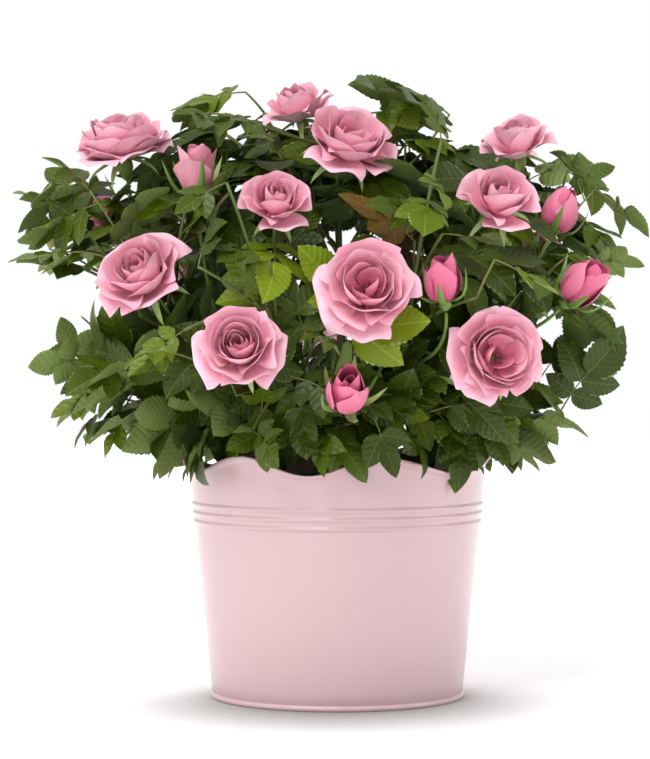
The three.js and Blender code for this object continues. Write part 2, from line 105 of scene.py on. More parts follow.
# Each front flower: kind, middle, width, the way that it faces, and the style of its petals.
FRONT_FLOWERS = [
    ("rose", (-123, -12, 317), 56, (-30, 72), "flat"),
    ("rose", (-33, -85, 278), 42, (5, 38), "high"),
    ("rose", (-23, -2, 336), 42, (-35, 62), "high"),
    ("rose", (7, -52, 314), 54, (22, 48), "cup"),
    ("rose", (101, -2, 316), 44, (-25, 60), "high"),
    ("rose", (88, -70, 280), 48, (8, 42), "high"),
    ("rose", (-107, -80, 240), 55, (-25, 34), "spiral"),
    ("rose", (-52, -122, 200), 52, (-5, 20), "spiral"),
    ("rose", (15, -128, 231), 56, (3, 22), "cup"),
    ("rose", (85, -105, 195), 54, (14, 8), "hollow"),
    ("bud", (-78, -40, 298), 25, (-10, 80), "flared"),
    ("bud", (55, -112, 235), 21, (-20, 72), "split"),
    ("bud", (135, -60, 234), 24, (55, 42), "split"),
    ("bud", (4, -132, 177), 23, (0, 35), "split"),
    ("bud", (126, -14, 276), 22, (50, 62), "tight"),
]
# Back flowers lie at even angles; their heights, kinds and styles take turns.
BACK_FLOWERS = {
    "count": 9,
    "angles": (120, 248),
    "turns": ((248, "rose", 52, "spiral"), (206, "rose", 52, "cup"), (292, "bud", 23, "split")),
    "reach": 0.8,
    "tilt": 32,
}

# ---------- Driving values of the finer growth ----------

HEART = CROWN["centre"] - UP * 70  # shoots and leaves head outwards from here
SHOOT = {
    "foot": 0.8,
    "tip": 0.5,
    "shares": (0.42, 0.68, 0.9),
    "lengths": (20, 38),
    "turn": 137.5,
    "arch": 0.12,
    "reach": 0.93,
}
PETIOLE = {"foot": 0.5, "tip": 0.3, "sag": 0.16}
FLOWER_STALK = {"foot": 1.15, "tip": 0.9, "bare": 0.3, "spacing": 15}

# Low shoots lean out over the pot's rim, and longer ones to the crown's low sides: their starts along a
# bough with their turns from its angle, and the radius and height of their tips.
LOW_SHOOTS = (
    {"starts": [(0.5, -17), (0.62, 6), (0.75, -5), (0.95, 17)], "radius": (80, 102), "height": (143, 158)},
    {"starts": [(0.9, -10), (0.98, 8)], "radius": (112, 136), "height": (166, 194)},
)
LOW_SHOOT_ARCH = 0.2

# The chance that a leaf is left out, which rises to this share low (below the crown's middle) and far
# out (radius), where the sky shows through.
THINNING = {"share": 0.96, "below": (-40, 35), "radius": (80, 114)}

# Sprays that stand out from the crown: the places of their tips.
SPRAYS = np.array([
    (152.0, -8, 294),
    (146, -30, 262),
    (132, -20, 153),
    (-150, -15, 174),
    (-126, -28, 150),
    (-168, 0, 258),
    (-138, -38, 286),
    (22, -10, 338),
])
SPRAY = {"start": 0.8, "arch": 0.1, "spacing": 10, "bare": 0.45, "room": 38}

# The leaves reach out in lobes: to these shares of the crown, where a soft noise is low or high.
LOBES = {"scale": 2.7, "offset": Vector((-6.9, 6.8, 4.5)), "reach": (0.76, 0.96), "noise": (-0.25, 0.25)}

# Compound leaves: shares along the leaf's stalk, sizes and angles of the pairs of leaflets.
LEAF = {
    "stalk": 31,
    "pairs": [(0.74, 0.84, 58), (0.38, 0.64, 70)],
    "one_pair": 0.25,  # the share of leaves that have only one
    "spacing": 11,  # between leaves along a twig
    "bare": 0.3,
    "turn": 137.5,
    "room": 8.5,  # between the middles of leaflets
    "tries": 7,
    "sizes": (1.0, 0.72),
    "flower_room": 3,
    "pot_room": 2.5,
    "rim_zone": 172,  # below this height leaves hang over the pot's rim,
    "rim_reach": 112,  # and up to this radius they may do so in any direction
    "near_pot": (100, 125),  # the radii between which they hang less and less
}
LEAFLET = {
    "length": 34,
    "width": 0.66,  # of its length
    "widths": (0.82, 1.12),
    "outline": (0.55, 0.85),  # how full it is towards its base and its tip
    "thickness": 0.28,
    "bend": (-0.1, 0.8),
    "fold": (0.08, 0.5),
    "twist": (-0.3, 0.3),
    "wave": 0.035,
    "rib": 0.025,  # half as wide, of the leaflet's width
    "teeth": 11,  # on each side
}
CORNERS = {"pot": 288, "round": 96}
ANY_PHASE = 6.3  # about a full turn, in radians

# ---------- Light and camera, in metres ----------

# The surround's light by the height of its direction, from 0 at the horizon to 1 overhead.
SURROUND = {"From Min": 0.18, "From Max": 0.45, "To Min": 1.0, "To Max": 0.55}
LIGHT_AIM = (0, 0, 0.2)
SUN = {"name": "key", "direction": (-0.3, -0.5, 0.8), "power": 2.2, "angle": 36}
# Each panel: its place, its width and height, and its power.
PANELS = {
    "left_panel": ((-1.5, -0.5, 0.35), (0.9, 1.6), 5),
    "right_panel": ((1.45, -0.2, 0.35), (0.5, 1.6), 6),
}
CAMERA = {"place": (-0.0071, -1.55, 0.204), "aim": (-0.0071, 0, 0.180), "lens": 129.2}
# The floor's glow, and the reach and tilted normal of the painted shadow that greys it round what stands on
# it.
FLOOR = {"half": 4, "glow": 0.42, "painted_shadow_reach": 0.16, "tilt": {"Y": 0.7, "Z": 0.714}}


# ---------- Small helpers ----------


def unit(vector):
    return vector / np.linalg.norm(vector)


def units(vectors):
    return vectors / np.linalg.norm(vectors, axis=-1, keepdims=True)


def mix(low, high, share):
    return low + (high - low) * share


def smoothstep(value, low, high):
    share = np.clip((value - low) / (high - low), 0, 1)
    return share * share * (3 - 2 * share)


def ring_angles(count):
    """Even angles round a circle, in radians."""
    return np.arange(count) * 2 * math.pi / count


def heading(angle, elevation=0.0):
    """The unit vector at an angle from the front towards +X, and so many degrees above the horizon."""
    turn, rise = math.radians(angle), math.radians(elevation)
    across = math.cos(rise)
    return np.array([math.sin(turn) * across, -math.cos(turn) * across, math.sin(rise)])


def seeded_random(seed):
    """A source of random numbers from 0 to 1, the same as the source of the part has."""
    mask = 0xFFFFFFFF
    state = seed & mask

    def draw():
        nonlocal state
        state = (state + 0x6D2B79F5) & mask
        mixed = ((state ^ (state >> 15)) * (state | 1)) & mask
        mixed ^= (mixed + (((mixed ^ (mixed >> 7)) * (mixed | 61)) & mask)) & mask
        return (mixed ^ (mixed >> 14)) / 2**32

    return draw


class Curve:
    """A quadratic Bezier curve. A share runs from 0 at its foot to 1 at its tip."""

    def __init__(self, start, bend, end):
        self.start, self.bend, self.end = start, bend, end

    def point(self, share):
        share = np.asarray(share)[..., None]
        near = (1 - share) ** 2 * self.start + 2 * share * (1 - share) * self.bend
        return near + share**2 * self.end

    def tangent(self, share):
        share = np.asarray(share)[..., None]
        return units((1 - share) * (self.bend - self.start) + share * (self.end - self.bend))

    def length(self):
        points = self.point(np.linspace(0, 1, 21))
        return np.linalg.norm(np.diff(points, axis=0), axis=1).sum()


def arched(start, end, arch):
    middle = (start + end) / 2 + UP * arch * np.linalg.norm(end - start)
    return Curve(start, middle, end)


# ---------- Meshes ----------


class Shape:
    """A mesh in the making. Faces come in groups of rows of point numbers, each group with the number
    of its material and the side of a thin sheet that it is on. A note holds three numbers a point."""

    def __init__(self):
        self.points, self.notes = [], []
        self.faces, self.kinds, self.sides = [], [], []
        self.count = 0

    def add(self, points, groups, notes=None):
        for rows, kind, side in groups:
            self.faces.append(rows + self.count)
            self.kinds.append(np.full(len(rows), kind))
            self.sides.append(np.full(len(rows), side))
        self.points.append(points)
        self.notes.append(np.zeros((len(points), 3)) if notes is None else notes)
        self.count += len(points)

    def piece(self, name, materials, slot, nodes):
        """Makes the mesh a piece that stands for CAD nodes. Edges between two sides are sharp."""
        corners = np.concatenate([rows.ravel() for rows in self.faces])
        sizes = np.concatenate([np.full(len(rows), rows.shape[1]) for rows in self.faces])
        mesh = bpy.data.meshes.new(name)
        mesh.vertices.add(self.count)
        mesh.vertices.foreach_set("co", np.concatenate(self.points).ravel() * MM)
        mesh.loops.add(len(corners))
        mesh.loops.foreach_set("vertex_index", corners)
        mesh.polygons.add(len(sizes))
        mesh.polygons.foreach_set("loop_start", np.cumsum(sizes) - sizes)
        mesh.polygons.foreach_set("material_index", np.concatenate(self.kinds))
        note = mesh.attributes.new("note", "FLOAT_VECTOR", "POINT")
        note.data.foreach_set("vector", np.concatenate(self.notes).ravel())
        mesh.update(calc_edges=True)
        mesh.shade_smooth()
        edges = np.empty(len(corners), np.int32)
        mesh.loops.foreach_get("edge_index", edges)
        sides = np.bincount(edges, np.repeat(np.concatenate(self.sides), sizes))
        sharp = mesh.attributes.new("sharp_edge", "BOOLEAN", "EDGE")
        sharp.data.foreach_set("value", (sides > 0) & (sides < np.bincount(edges)))
        for item in materials:
            mesh.materials.append(item)
        piece = bpy.data.objects.new(name, mesh)
        bpy.context.scene.collection.objects.link(piece)
        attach(piece, "root")
        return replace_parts(piece, *nodes)


@lru_cache
def tube_faces(rings, sides):
    """The walls of a tube as rows of four points, and its two ends as rows."""
    ring = np.arange(rings - 1)[:, None] * sides
    side = np.arange(sides)[None, :]
    after = (side + 1) % sides
    walls = np.stack([ring + side, ring + after, ring + sides + after, ring + sides + side], axis=-1)
    tip = (rings - 1) * sides + side
    return walls.reshape(-1, 4), side[:, ::-1], tip


def add_rings(shape, rings, kind):
    """Adds a closed form of rings of points, from one end to the other."""
    faces = tube_faces(*rings.shape[:2])
    shape.add(rings.reshape(-1, 3), [(rows, kind, 0) for rows in faces])


def add_tube(shape, points, radii, sides, kind=0):
    """Adds a closed tube along points. Radii has one number a ring, or one for each point of it."""
    span = points[-1] - points[0]
    aside = np.array([-span[1], span[0], 0.3 * np.linalg.norm(span)])
    along = units(np.gradient(points, axis=0))
    normal = units(np.cross(aside, along))
    binormal = np.cross(along, normal)
    turn = ring_angles(sides)[:, None]
    round_it = np.cos(turn) * normal[:, None] + np.sin(turn) * binormal[:, None]
    radii = np.asarray(radii).reshape(len(points), -1, 1)
    add_rings(shape, points[:, None] + radii * round_it, kind)


def limb_radii(form, shares):
    flare = form.get("flare", 0) * np.exp(-FLARE_FALL * np.maximum(shares, 0))
    return mix(form["foot"], form["tip"], shares) + flare


def add_limb(shape, curve, form, sides, steps, kind=0, last=1.0):
    """Adds a tapering tube along a curve, from a little way back inside what carries it to its last
    share."""
    shares = np.linspace(-0.02, last, steps + 1)
    add_tube(shape, curve.point(shares), limb_radii(form, shares), sides, kind)


@lru_cache
def sheet_faces(rows, columns):
    """The point numbers of both sides of a sheet: its border belongs to both."""
    top = np.arange(rows * columns).reshape(rows, columns)
    under = top.copy()
    inner = (rows - 2) * (columns - 2)
    under[1:-1, 1:-1] = rows * columns + np.arange(inner).reshape(rows - 2, columns - 2)

    def quads(grid):
        return np.stack([grid[:-1, :-1], grid[:-1, 1:], grid[1:, 1:], grid[1:, :-1]], axis=-1)

    return quads(top).reshape(-1, 4), quads(under).reshape(-1, 4)[:, ::-1]


def add_sheet(shape, grid, thickness, kinds, notes=None):
    """Adds a thin closed sheet round a grid of points. Its top faces along across x along. Notes are
    those of its two sides."""
    normal = np.cross(np.gradient(grid, axis=1), np.gradient(grid, axis=0))
    normal /= np.maximum(np.linalg.norm(normal, axis=2, keepdims=True), 1e-9)
    normal[[0, -1], :] = 0
    normal[:, [0, -1]] = 0

    def both(top, under):
        return np.concatenate([top.reshape(-1, 3), under[1:-1, 1:-1].reshape(-1, 3)])

    points = both(grid + normal * thickness / 2, grid - normal * thickness / 2)
    top_rows, under_rows = sheet_faces(*grid.shape[:2])
    shape.add(points, [(top_rows, kinds[0], 0), (under_rows, kinds[1], 1)], notes and both(*notes))


def add_turned(shape, profile, corners, bent=None):
    """Adds a closed form turned about +Z: its profile is [radius, height] from axis to axis."""
    turn = ring_angles(corners)
    inner = np.array(profile[1:-1], float)
    rings = np.empty((len(inner), corners, 3))
    rings[..., 0] = inner[:, :1] * np.sin(turn)
    rings[..., 1] = -inner[:, :1] * np.cos(turn)
    rings[..., 2] = inner[:, 1:]
    if bent:
        rings = bent(rings.reshape(-1, 3)).reshape(rings.shape)
    add_rings(shape, rings, 0)


# ---------- Materials ----------


def linear(colour):
    """An sRGB colour, 0 to 255, as the linear colour that a shader takes."""
    return (*[(c / 255 / 12.92) if c < 10.3 else ((c / 255 + 0.055) / 1.055) ** 2.4 for c in colour], 1)


class Nodes:
    """Short ways to add nodes to a node tree."""

    def __init__(self, tree):
        self.tree, self.nodes = tree, tree.nodes

    def link(self, out, into):
        self.tree.links.new(out, into)

    def add(self, kind, inputs=None, out=0, **values):
        """Adds a node and returns one of its outputs."""
        node = self.nodes.new("ShaderNode" + kind)
        for name, value in values.items():
            setattr(node, name, value)
        for name, value in (inputs or {}).items():
            if isinstance(value, bpy.types.NodeSocket):
                self.link(value, node.inputs[name])
            else:
                node.inputs[name].default_value = value
        return node.outputs[out]

    def math(self, operation, *values):
        return self.add("Math", dict(enumerate(values)), operation=operation)


class Material(Nodes):
    """A node material with a Principled shader, and short ways to add what drives its sockets."""

    def __init__(self, name, colour, roughness, **sockets):
        self.data = bpy.data.materials.new(name)
        self.data.use_nodes = True
        super().__init__(self.data.node_tree)
        self.sockets = self.nodes["Principled BSDF"].inputs
        for socket, value in {"Base_Color": linear(colour), "Roughness": roughness, **sockets}.items():
            self.sockets[socket.replace("_", " ")].default_value = value

    def drive(self, socket, out):
        self.link(out, self.sockets[socket])
        return self

    def note(self):
        """The three numbers of the mesh's note."""
        note = self.add("Attribute", out="Vector", attribute_name="note")
        return list(self.add("SeparateXYZ", {0: note}).node.outputs)

    def noise(self, scale, detail=3.0, stretch=None):
        place = self.add("TexCoord", out="Object")
        if stretch:
            place = self.add("Mapping", {"Vector": place, "Scale": stretch})
        return self.add("TexNoise", {"Vector": place, "Scale": scale, "Detail": detail}, "Fac")

    def ramp(self, value, stops):
        out = self.add("ValToRGB", {"Fac": value}, "Color")
        elements = out.node.color_ramp.elements
        while len(elements) < len(stops):
            elements.new(0.5)
        for element, (position, colour) in zip(elements, stops):
            element.position = position
            element.color = linear(colour)
        return out

    def bump(self, height, strength, distance):
        """Bumps of a height map, over any bumps added before. The distance is in millimetres."""
        inputs = {"Height": height, "Strength": strength, "Distance": distance * MM}
        normal = self.sockets["Normal"]
        if normal.is_linked:
            inputs["Normal"] = normal.links[0].from_socket
        return self.drive("Normal", self.add("Bump", inputs))


# The colours of a leaf of each tone: its upper side, its ribs and its underside.
TONES = {
    "deep": ((53, 67, 7), (86, 100, 34), (100, 122, 60)),
    "dark": ((68, 84, 10), (100, 114, 38), (114, 134, 70)),
    "mid": ((91, 108, 14), (124, 138, 44), (138, 158, 88)),
    "fresh": ((120, 140, 22), (152, 166, 56), (162, 180, 108)),
    "yellow": ((136, 148, 16), (162, 170, 48), (158, 170, 76)),
    "bronze": ((98, 72, 20), (128, 98, 44), (124, 100, 54)),
}
TONE_SHARES = (0.35, 0.35, 0.18, 0.06, 0.03, 0.03)


def vein_relief(leaf):
    """The height of a leaf's blade between its side veins, which slant from the rib to the teeth."""
    along, across, _ = leaf.note()
    slant = leaf.math("MULTIPLY_ADD", leaf.math("ABSOLUTE", across), -0.75, along)
    pleat = leaf.math("ABSOLUTE", leaf.math("SINE", leaf.math("MULTIPLY", slant, 0.8)))
    return leaf.math("POWER", pleat, 0.4)


def leaf_materials():
    """Three materials for each tone: a glossy upper side with sunken veins, its ribs, and a matt
    underside with raised ones."""
    made = []
    for tone, (upper, rib, under) in TONES.items():
        top = Material(f"leaf_{tone}", upper, 0.36, Specular_IOR_Level=0.26)
        top.bump(vein_relief(top), 0.5, 0.6).bump(top.noise(350), 0.35, 1.2)
        ribs = Material(f"leaf_rib_{tone}", rib, 0.5, Specular_IOR_Level=0.3)
        ribs.bump(ribs.noise(1500), 0.2, 0.1)
        bottom = Material(f"leaf_under_{tone}", under, 0.6, Specular_IOR_Level=0.25)
        raised = bottom.math("SUBTRACT", 1, vein_relief(bottom))
        bottom.bump(raised, 0.5, 0.6).bump(bottom.noise(500), 0.4, 0.8)
        made += [top.data, ribs.data, bottom.data]
    return made


def petal_material():
    """Pink by place: a point's note holds its shade, from 0 deep in the heart to 1 at a pale rim. The deep
    pink in the heart and at the petals' bases is partly the rose's own colour and partly painted shade of the
    cup's crevices.
    """
    softness = {"Subsurface_Weight": 0.3, "Subsurface_Radius": (0.004, 0.002, 0.002), "Sheen_Weight": 0.1}
    petal = Material("petal", (234, 154, 174), 0.5, **softness)
    shade, along, across = petal.note()
    fan = petal.add("CombineXYZ", {"X": petal.math("MULTIPLY", across, 90), "Y": along})
    veins = petal.add("TexNoise", {"Vector": fan, "Scale": 1.0, "Detail": 3.0}, "Fac")
    shade = petal.math("MULTIPLY_ADD", petal.math("SUBTRACT", veins, 0.5), 0.35, shade)
    # The deep stops give the buds' own deep pink, and painted shade in the blooms' hearts.
    stops = [(0, (178, 50, 98)), (0.22, (220, 104, 142)), (0.6, (234, 154, 176)), (1, (242, 194, 209))]
    petal.drive("Base Color", petal.ramp(shade, stops))
    return petal.bump(petal.noise(260), 0.4, 1.4).bump(veins, 0.3, 0.6).data


def stem_material(name, colours, roughness, scale):
    """Streaks of a few colours along a stem, with fine furrows."""
    stem = Material(name, colours[0], roughness)
    stops = [(0.35 + 0.3 * i / (len(colours) - 1), colour) for i, colour in enumerate(colours)]
    stem.drive("Base Color", stem.ramp(stem.noise(scale, 5, (1, 1, 0.35)), stops))
    return stem.bump(stem.noise(scale * 3, 4, (1, 1, 0.3)), 0.5, 0.5).data


def plain_material(name, colour, roughness, scale=900, strength=0.2):
    plain = Material(name, colour, roughness)
    return plain.bump(plain.noise(scale), strength, 0.3).data


# ---------- The plant's limbs, as the part's source grows them ----------


def limb(curve, form):
    """A limb: its curve, its form and the spheres along it, each with a middle and a radius."""
    shares = np.linspace(0, 1, LIMB_SAMPLES + 1)
    spheres = np.column_stack([curve.point(shares), limb_radii(form, shares)])
    return {"curve": curve, "form": form, "spheres": spheres}


def keeps_clear(curve, radius, spheres):
    """True where a limb of a radius along a curve keeps out of every sphere."""
    places = curve.point(np.linspace(0, 1, LIMB_SAMPLES + 1))
    gaps = np.linalg.norm(places[:, None] - spheres[None, :, :3], axis=2)
    return bool((gaps >= spheres[:, 3] + radius + 2 * GAP).all())


def crown_share(place):
    """1 on the crown's outline, less inside it."""
    offset = np.abs((place - CROWN["centre"]) / CROWN["size"])
    return (offset ** CROWN["power"]).sum(axis=-1) ** (1 / CROWN["power"])


def crown_point(direction, share):
    reach = crown_share(CROWN["centre"] + direction)
    return CROWN["centre"] + direction * share / reach


def mass_angle(index):
    """The angle of a mass in the ring, whose masses are numbered from 1."""
    return MASSES["first_angle"] + (index - 1) * 360 / MASSES["ring"]


def mass_centres():
    centres = [UP * MASSES["top_height"]]
    for index in range(1, MASSES["ring"] + 1):
        centre = heading(mass_angle(index)) * MASSES["ring_radius"]
        centres.append(centre + UP * MASSES["ring_height"])
    return np.array(centres)


CENTRES = mass_centres()


def nearest_mass(place):
    return np.linalg.norm(CENTRES - place, axis=1).argmin()


def depth_in_cell(place, index):
    """How far a place lies inside the cell of a mass, whose walls are halfway to the others."""
    others = np.delete(CENTRES, index, axis=0)
    across = units(others - CENTRES[index])
    return (((CENTRES[index] + others) / 2 - place) * across).sum(axis=1).min()


def grow_main_stem():
    foot = UP * (SOIL["height"] + SOIL["mound"] + GAP)
    tip = np.array([*MAIN_STEM["lean"], foot[2] + MAIN_STEM["height"]])
    return limb(Curve(foot, (foot + tip) / 2, tip), MAIN_STEM)


def grow_mass(index):
    """The bough towards a mass, and the mass's stem, which carries on from its tip."""
    turn = (index * BOUGH_STAGGER) % MASSES["ring"] / MASSES["ring"]
    share = BOUGH["top_foot"] if index == 0 else mix(*BOUGH["feet"], turn)
    foot = main_stem["curve"].point(share)
    centre = CENTRES[index]
    bough = arched(foot, mix(foot, centre, BOUGH["reach"]), BOUGH["arch"])
    onward = bough.tangent(1)
    start = bough.point(1) + onward * GAP
    end = crown_point(centre - CROWN["centre"], MASS_STEM["reach"])
    bend = start + onward * MASS_STEM["bend"] * np.linalg.norm(end - start)
    return {"index": index, "bough": limb(bough, BOUGH), "stem": limb(Curve(start, bend, end), MASS_STEM)}


def back_flowers():
    made = []
    for i in range(BACK_FLOWERS["count"]):
        height, kind, width, style = BACK_FLOWERS["turns"][i % len(BACK_FLOWERS["turns"])]
        angle = mix(*BACK_FLOWERS["angles"], i / (BACK_FLOWERS["count"] - 1))
        direction = heading(angle) * CROWN["size"][0] + UP * (height - CROWN["centre"][2])
        at = crown_point(direction, BACK_FLOWERS["reach"])
        made.append((kind, at, width, (angle, BACK_FLOWERS["tilt"]), style))
    return made


def spheres_of(*things):
    return np.concatenate([thing["spheres"] for thing in things])


def grow_flower(kind, at, width, facing, style, name, grown):
    """A flower's place and stalk. The stalk takes the first start on its mass's stem from which it
    keeps clear of all that is there."""
    form = FORMS[kind]
    axis = heading(*facing)
    base = np.array(at) - axis * form["middle"] * width
    end = base + axis * form["foot"] * width
    mass = masses[nearest_mass(base)]
    stems = [other["stem"] for other in masses if other is not mass]
    boughs = [other["bough"] for other in masses]
    spheres = spheres_of(main_stem, *boughs, *stems, *[other["stalk"] for other in grown], *grown)
    for share in STALK["starts"]:
        start = mass["stem"]["curve"].point(share)
        curve = Curve(start, end - axis * STALK["bend"] * np.linalg.norm(end - start), end)
        if keeps_clear(curve, STALK["foot"], spheres):
            break
    balls = [np.append(base + axis * height * width, radius * width) for height, radius in form["spheres"]]
    return {
        "name": name,
        "kind": kind,
        "base": base,
        "axis": axis,
        "width": width,
        "style": style,
        "mass": mass["index"],
        "stalk": limb(curve, STALK),
        "spheres": np.array(balls),
    }


def grow_flowers():
    grown, counts = [], {"rose": 0, "bud": 0}
    for flower in FRONT_FLOWERS + back_flowers():
        counts[flower[0]] += 1
        grown.append(grow_flower(*flower, f"{flower[0]}_{counts[flower[0]]}", grown))
    return grown


def twig_targets(mass, random):
    """Places for the tips of a mass's twigs: of many seeded tries in its cell, the furthest apart."""
    tries = []
    while len(tries) < TWIG["tries"]:
        direction = np.array([random() - 0.5 for _ in range(3)])
        place = crown_point(direction, mix(*TWIG["reach"], math.sqrt(random())))
        if depth_in_cell(place, mass["index"]) > TWIG["depth"]:
            tries.append(place)
    tries = np.array(tries)
    chosen = [mass["stem"]["curve"].point(1)]
    while len(chosen) <= TWIG["count"]:
        spreads = np.linalg.norm(tries[:, None] - np.array(chosen)[None], axis=2).min(axis=1)
        chosen.append(tries[spreads.argmax()])
    return chosen[1:]


def grow_twigs(mass, random):
    """The twigs of a mass, each from the nearest free start on its stem that gives it a clear way."""
    boughs = [other["bough"] for other in masses]
    spheres = spheres_of(main_stem, *boughs, *[flower["stalk"] for flower in flowers], *flowers)
    shares = mix(*TWIG["starts"], np.arange(TWIG["count"]) / (TWIG["count"] - 1))
    starts = list(mass["stem"]["curve"].point(shares))
    twigs = []
    for target in twig_targets(mass, random):
        starts.sort(key=lambda start: np.linalg.norm(start - target))
        ways = ((i, arched(starts[i], target, arch)) for i in range(len(starts)) for arch in TWIG["arches"])
        found = next(((i, way) for i, way in ways if keeps_clear(way, TWIG["foot"], spheres)), None)
        if found:
            del starts[found[0]]
            twigs.append(found[1])
    return twigs


# ---------- Leaves ----------


def half_width(share):
    """Half the width of a leaflet along it, as a share of its widest: an oval with a pointed tip."""
    base, tip = LEAFLET["outline"]
    widest = base / (base + tip)
    fullest = widest**base * (1 - widest) ** tip
    return np.maximum(share**base * (1 - share) ** tip / fullest, 0.03)


def leaflet_template():
    """A leaflet in shares: each point's place along it, across it and its level (1 upper, 0 at the
    edge, -1 under), and its faces as (rows, kind, side). The points stand in lines along it, by name."""
    teeth, rib = LEAFLET["teeth"], LEAFLET["rib"]
    rows = np.linspace(0, 1, teeth + 1)
    between = rows[:-1] + 0.72 / teeth
    lines = {
        "left edge": (rows, -0.95, 0),
        "left half": (rows, -0.52, 1),
        "left rib": (rows, -rib, 1),
        "right rib": (rows, rib, 1),
        "right half": (rows, 0.52, 1),
        "right edge": (rows, 0.95, 0),
        "under": (rows, 0, -1),
        "left teeth": (between, -1.05, 0),
        "right teeth": (between, 1.05, 0),
    }
    numbers, points, start = {}, [], 0
    for name, (shares, across, level) in lines.items():
        numbers[name] = start + np.arange(len(shares))
        start += len(shares)
        wide = across * (half_width(shares) if abs(across) > rib else np.ones(len(shares)))
        points.append(np.column_stack([shares, wide, np.full(len(shares), level)]))

    def strip(*names):
        """Faces by the names of their corners' lines; a + is for the corner in the next row."""
        return np.stack([numbers[n.strip("+")][n.endswith("+") :][:teeth] for n in names], axis=1)

    around = ("under", "right edge", "right half", "right rib", "left rib", "left half", "left edge")
    ends = [np.array([[numbers[n][0] for n in around]]), np.array([[numbers[n][-1] for n in around[::-1]]])]
    upper = [
        strip("left edge", "left half", "left half+", "left edge+", "left teeth"),
        strip("left half", "left rib", "left rib+", "left half+"),
        strip("right rib", "right half", "right half+", "right rib+"),
        strip("right half", "right edge", "right teeth", "right edge+", "right half+"),
    ]
    ribs = [strip("left rib", "right rib", "right rib+", "left rib+")]
    under = [
        strip("under", "left edge", "left teeth", "left edge+", "under+"),
        strip("right edge", "under", "under+", "right edge+", "right teeth"),
        *ends,
    ]
    groups = ((upper, 0, 0), (ribs, 1, 0), (under, 2, 1))
    return np.concatenate(points), [(faces, kind, side) for rows, kind, side in groups for faces in rows]


TEMPLATE, TEMPLATE_FACES = leaflet_template()


def add_leaflet(shape, base, direction, normal, length, tone, random):
    """Adds a serrated leaflet, folded along its rib, with its tip bent down."""
    side = unit(np.cross(normal, direction))
    face = np.cross(direction, side)
    share, across, level = TEMPLATE.T
    width = length * LEAFLET["width"] * mix(*LEAFLET["widths"], random())
    bend, fold = mix(*LEAFLET["bend"], random()), mix(*LEAFLET["fold"], random() ** 1.5)
    twist, phase = mix(*LEAFLET["twist"], random()), random() * ANY_PHASE
    x = length * share * (1 - bend**2 * share**2 / 6)
    y = across * width / 2
    out = np.abs(across)
    z = fold * np.abs(y) * (1.15 - 0.4 * out) - 0.5 * bend * length * share**2
    z += LEAFLET["wave"] * width * out * np.sin(9 * share + phase + np.sign(across))
    z += level * LEAFLET["thickness"] / 2 - 0.3 * (level < 0)
    turn = twist * share
    y, z = y * np.cos(turn) - z * np.sin(turn), y * np.sin(turn) + z * np.cos(turn)
    points = base + x[:, None] * direction + y[:, None] * side + z[:, None] * face
    notes = np.column_stack([share * length, across * width / 2, level])
    shape.add(points, [(rows, 3 * tone + kind, flank) for rows, kind, flank in TEMPLATE_FACES], notes)


def pot_radius(height):
    return POT["foot_radius"] + POT["slope"] * height


def rim_wave(angle):
    """From -1 at the rim's troughs to 1 at its crests, at angles from the front towards +X."""
    crests = POT["crest_angles"]
    crests = np.array([crests[-1] - 360, *crests, crests[0] + 360])
    after = np.searchsorted(crests, angle, side="right")
    before = crests[after - 1]
    return np.cos(2 * math.pi * (angle - before) / (crests[after] - before))


def angle_of(points):
    return np.degrees(np.arctan2(points[..., 0], -points[..., 1])) % 360


def radius_of(points):
    return np.hypot(points[..., 0], points[..., 1])


def in_pot(points):
    """True for points in or close to the pot's wall, or in the soil."""
    radius, height = radius_of(points), points[:, 2]
    top = POT["rim_height"] + POT["wave"] * rim_wave(angle_of(points)) + LEAF["pot_room"]
    outer = pot_radius(height) + LEAF["pot_room"] + POT["lip"] * (height > 120)
    in_wall = (height < top) & (radius < outer) & (radius > NURSERY_POT["rim_radius"] - 4)
    return in_wall | (height < SOIL["height"])


def hides_flower(points):
    """True for points in the space of a flower, or straight in front of one that faces the front."""
    blocked = np.zeros(len(points), bool)
    for flower in flowers:
        offset = points - flower["base"]
        height = offset @ flower["axis"] / flower["width"]
        radius = np.linalg.norm(offset - np.outer(height, flower["axis"]) * flower["width"], axis=1)
        share = FORMS[flower["kind"]]["middle"]
        reach = flower["width"] * 0.5 + LEAF["flower_room"]
        blocked |= (height > -0.05) & (height < 2.2 * share + 0.25) & (radius < reach)
        if flower["axis"][1] < 0.02 and flower["base"][1] < 20:
            middle = flower["base"] + flower["axis"] * share * flower["width"]
            before = points[:, 1] < middle[1]
            beside = np.hypot(points[:, 0] - middle[0], points[:, 2] - middle[2])
            blocked |= before & (beside < flower["width"] * 0.52 + 2)
    return blocked


def lobed_reach(points):
    """How far out leaves may go, as a share of the crown: far in some directions, less in others. They
    may always go far over the pot's rim and round the tip of a spray."""
    ways = units((points - CROWN["centre"]) / CROWN["size"])
    lobes = np.array([noise.noise(Vector(way * LOBES["scale"]) + LOBES["offset"]) for way in ways])
    reach = mix(*LOBES["reach"], smoothstep(lobes, *LOBES["noise"]))
    over_rim = (points[:, 2] < LEAF["rim_zone"]) & (radius_of(points) < LEAF["rim_reach"])
    on_spray = np.linalg.norm(points[:, None] - SPRAYS, axis=2).min(axis=1) < SPRAY["room"]
    return np.where(over_rim | on_spray, 1, reach)


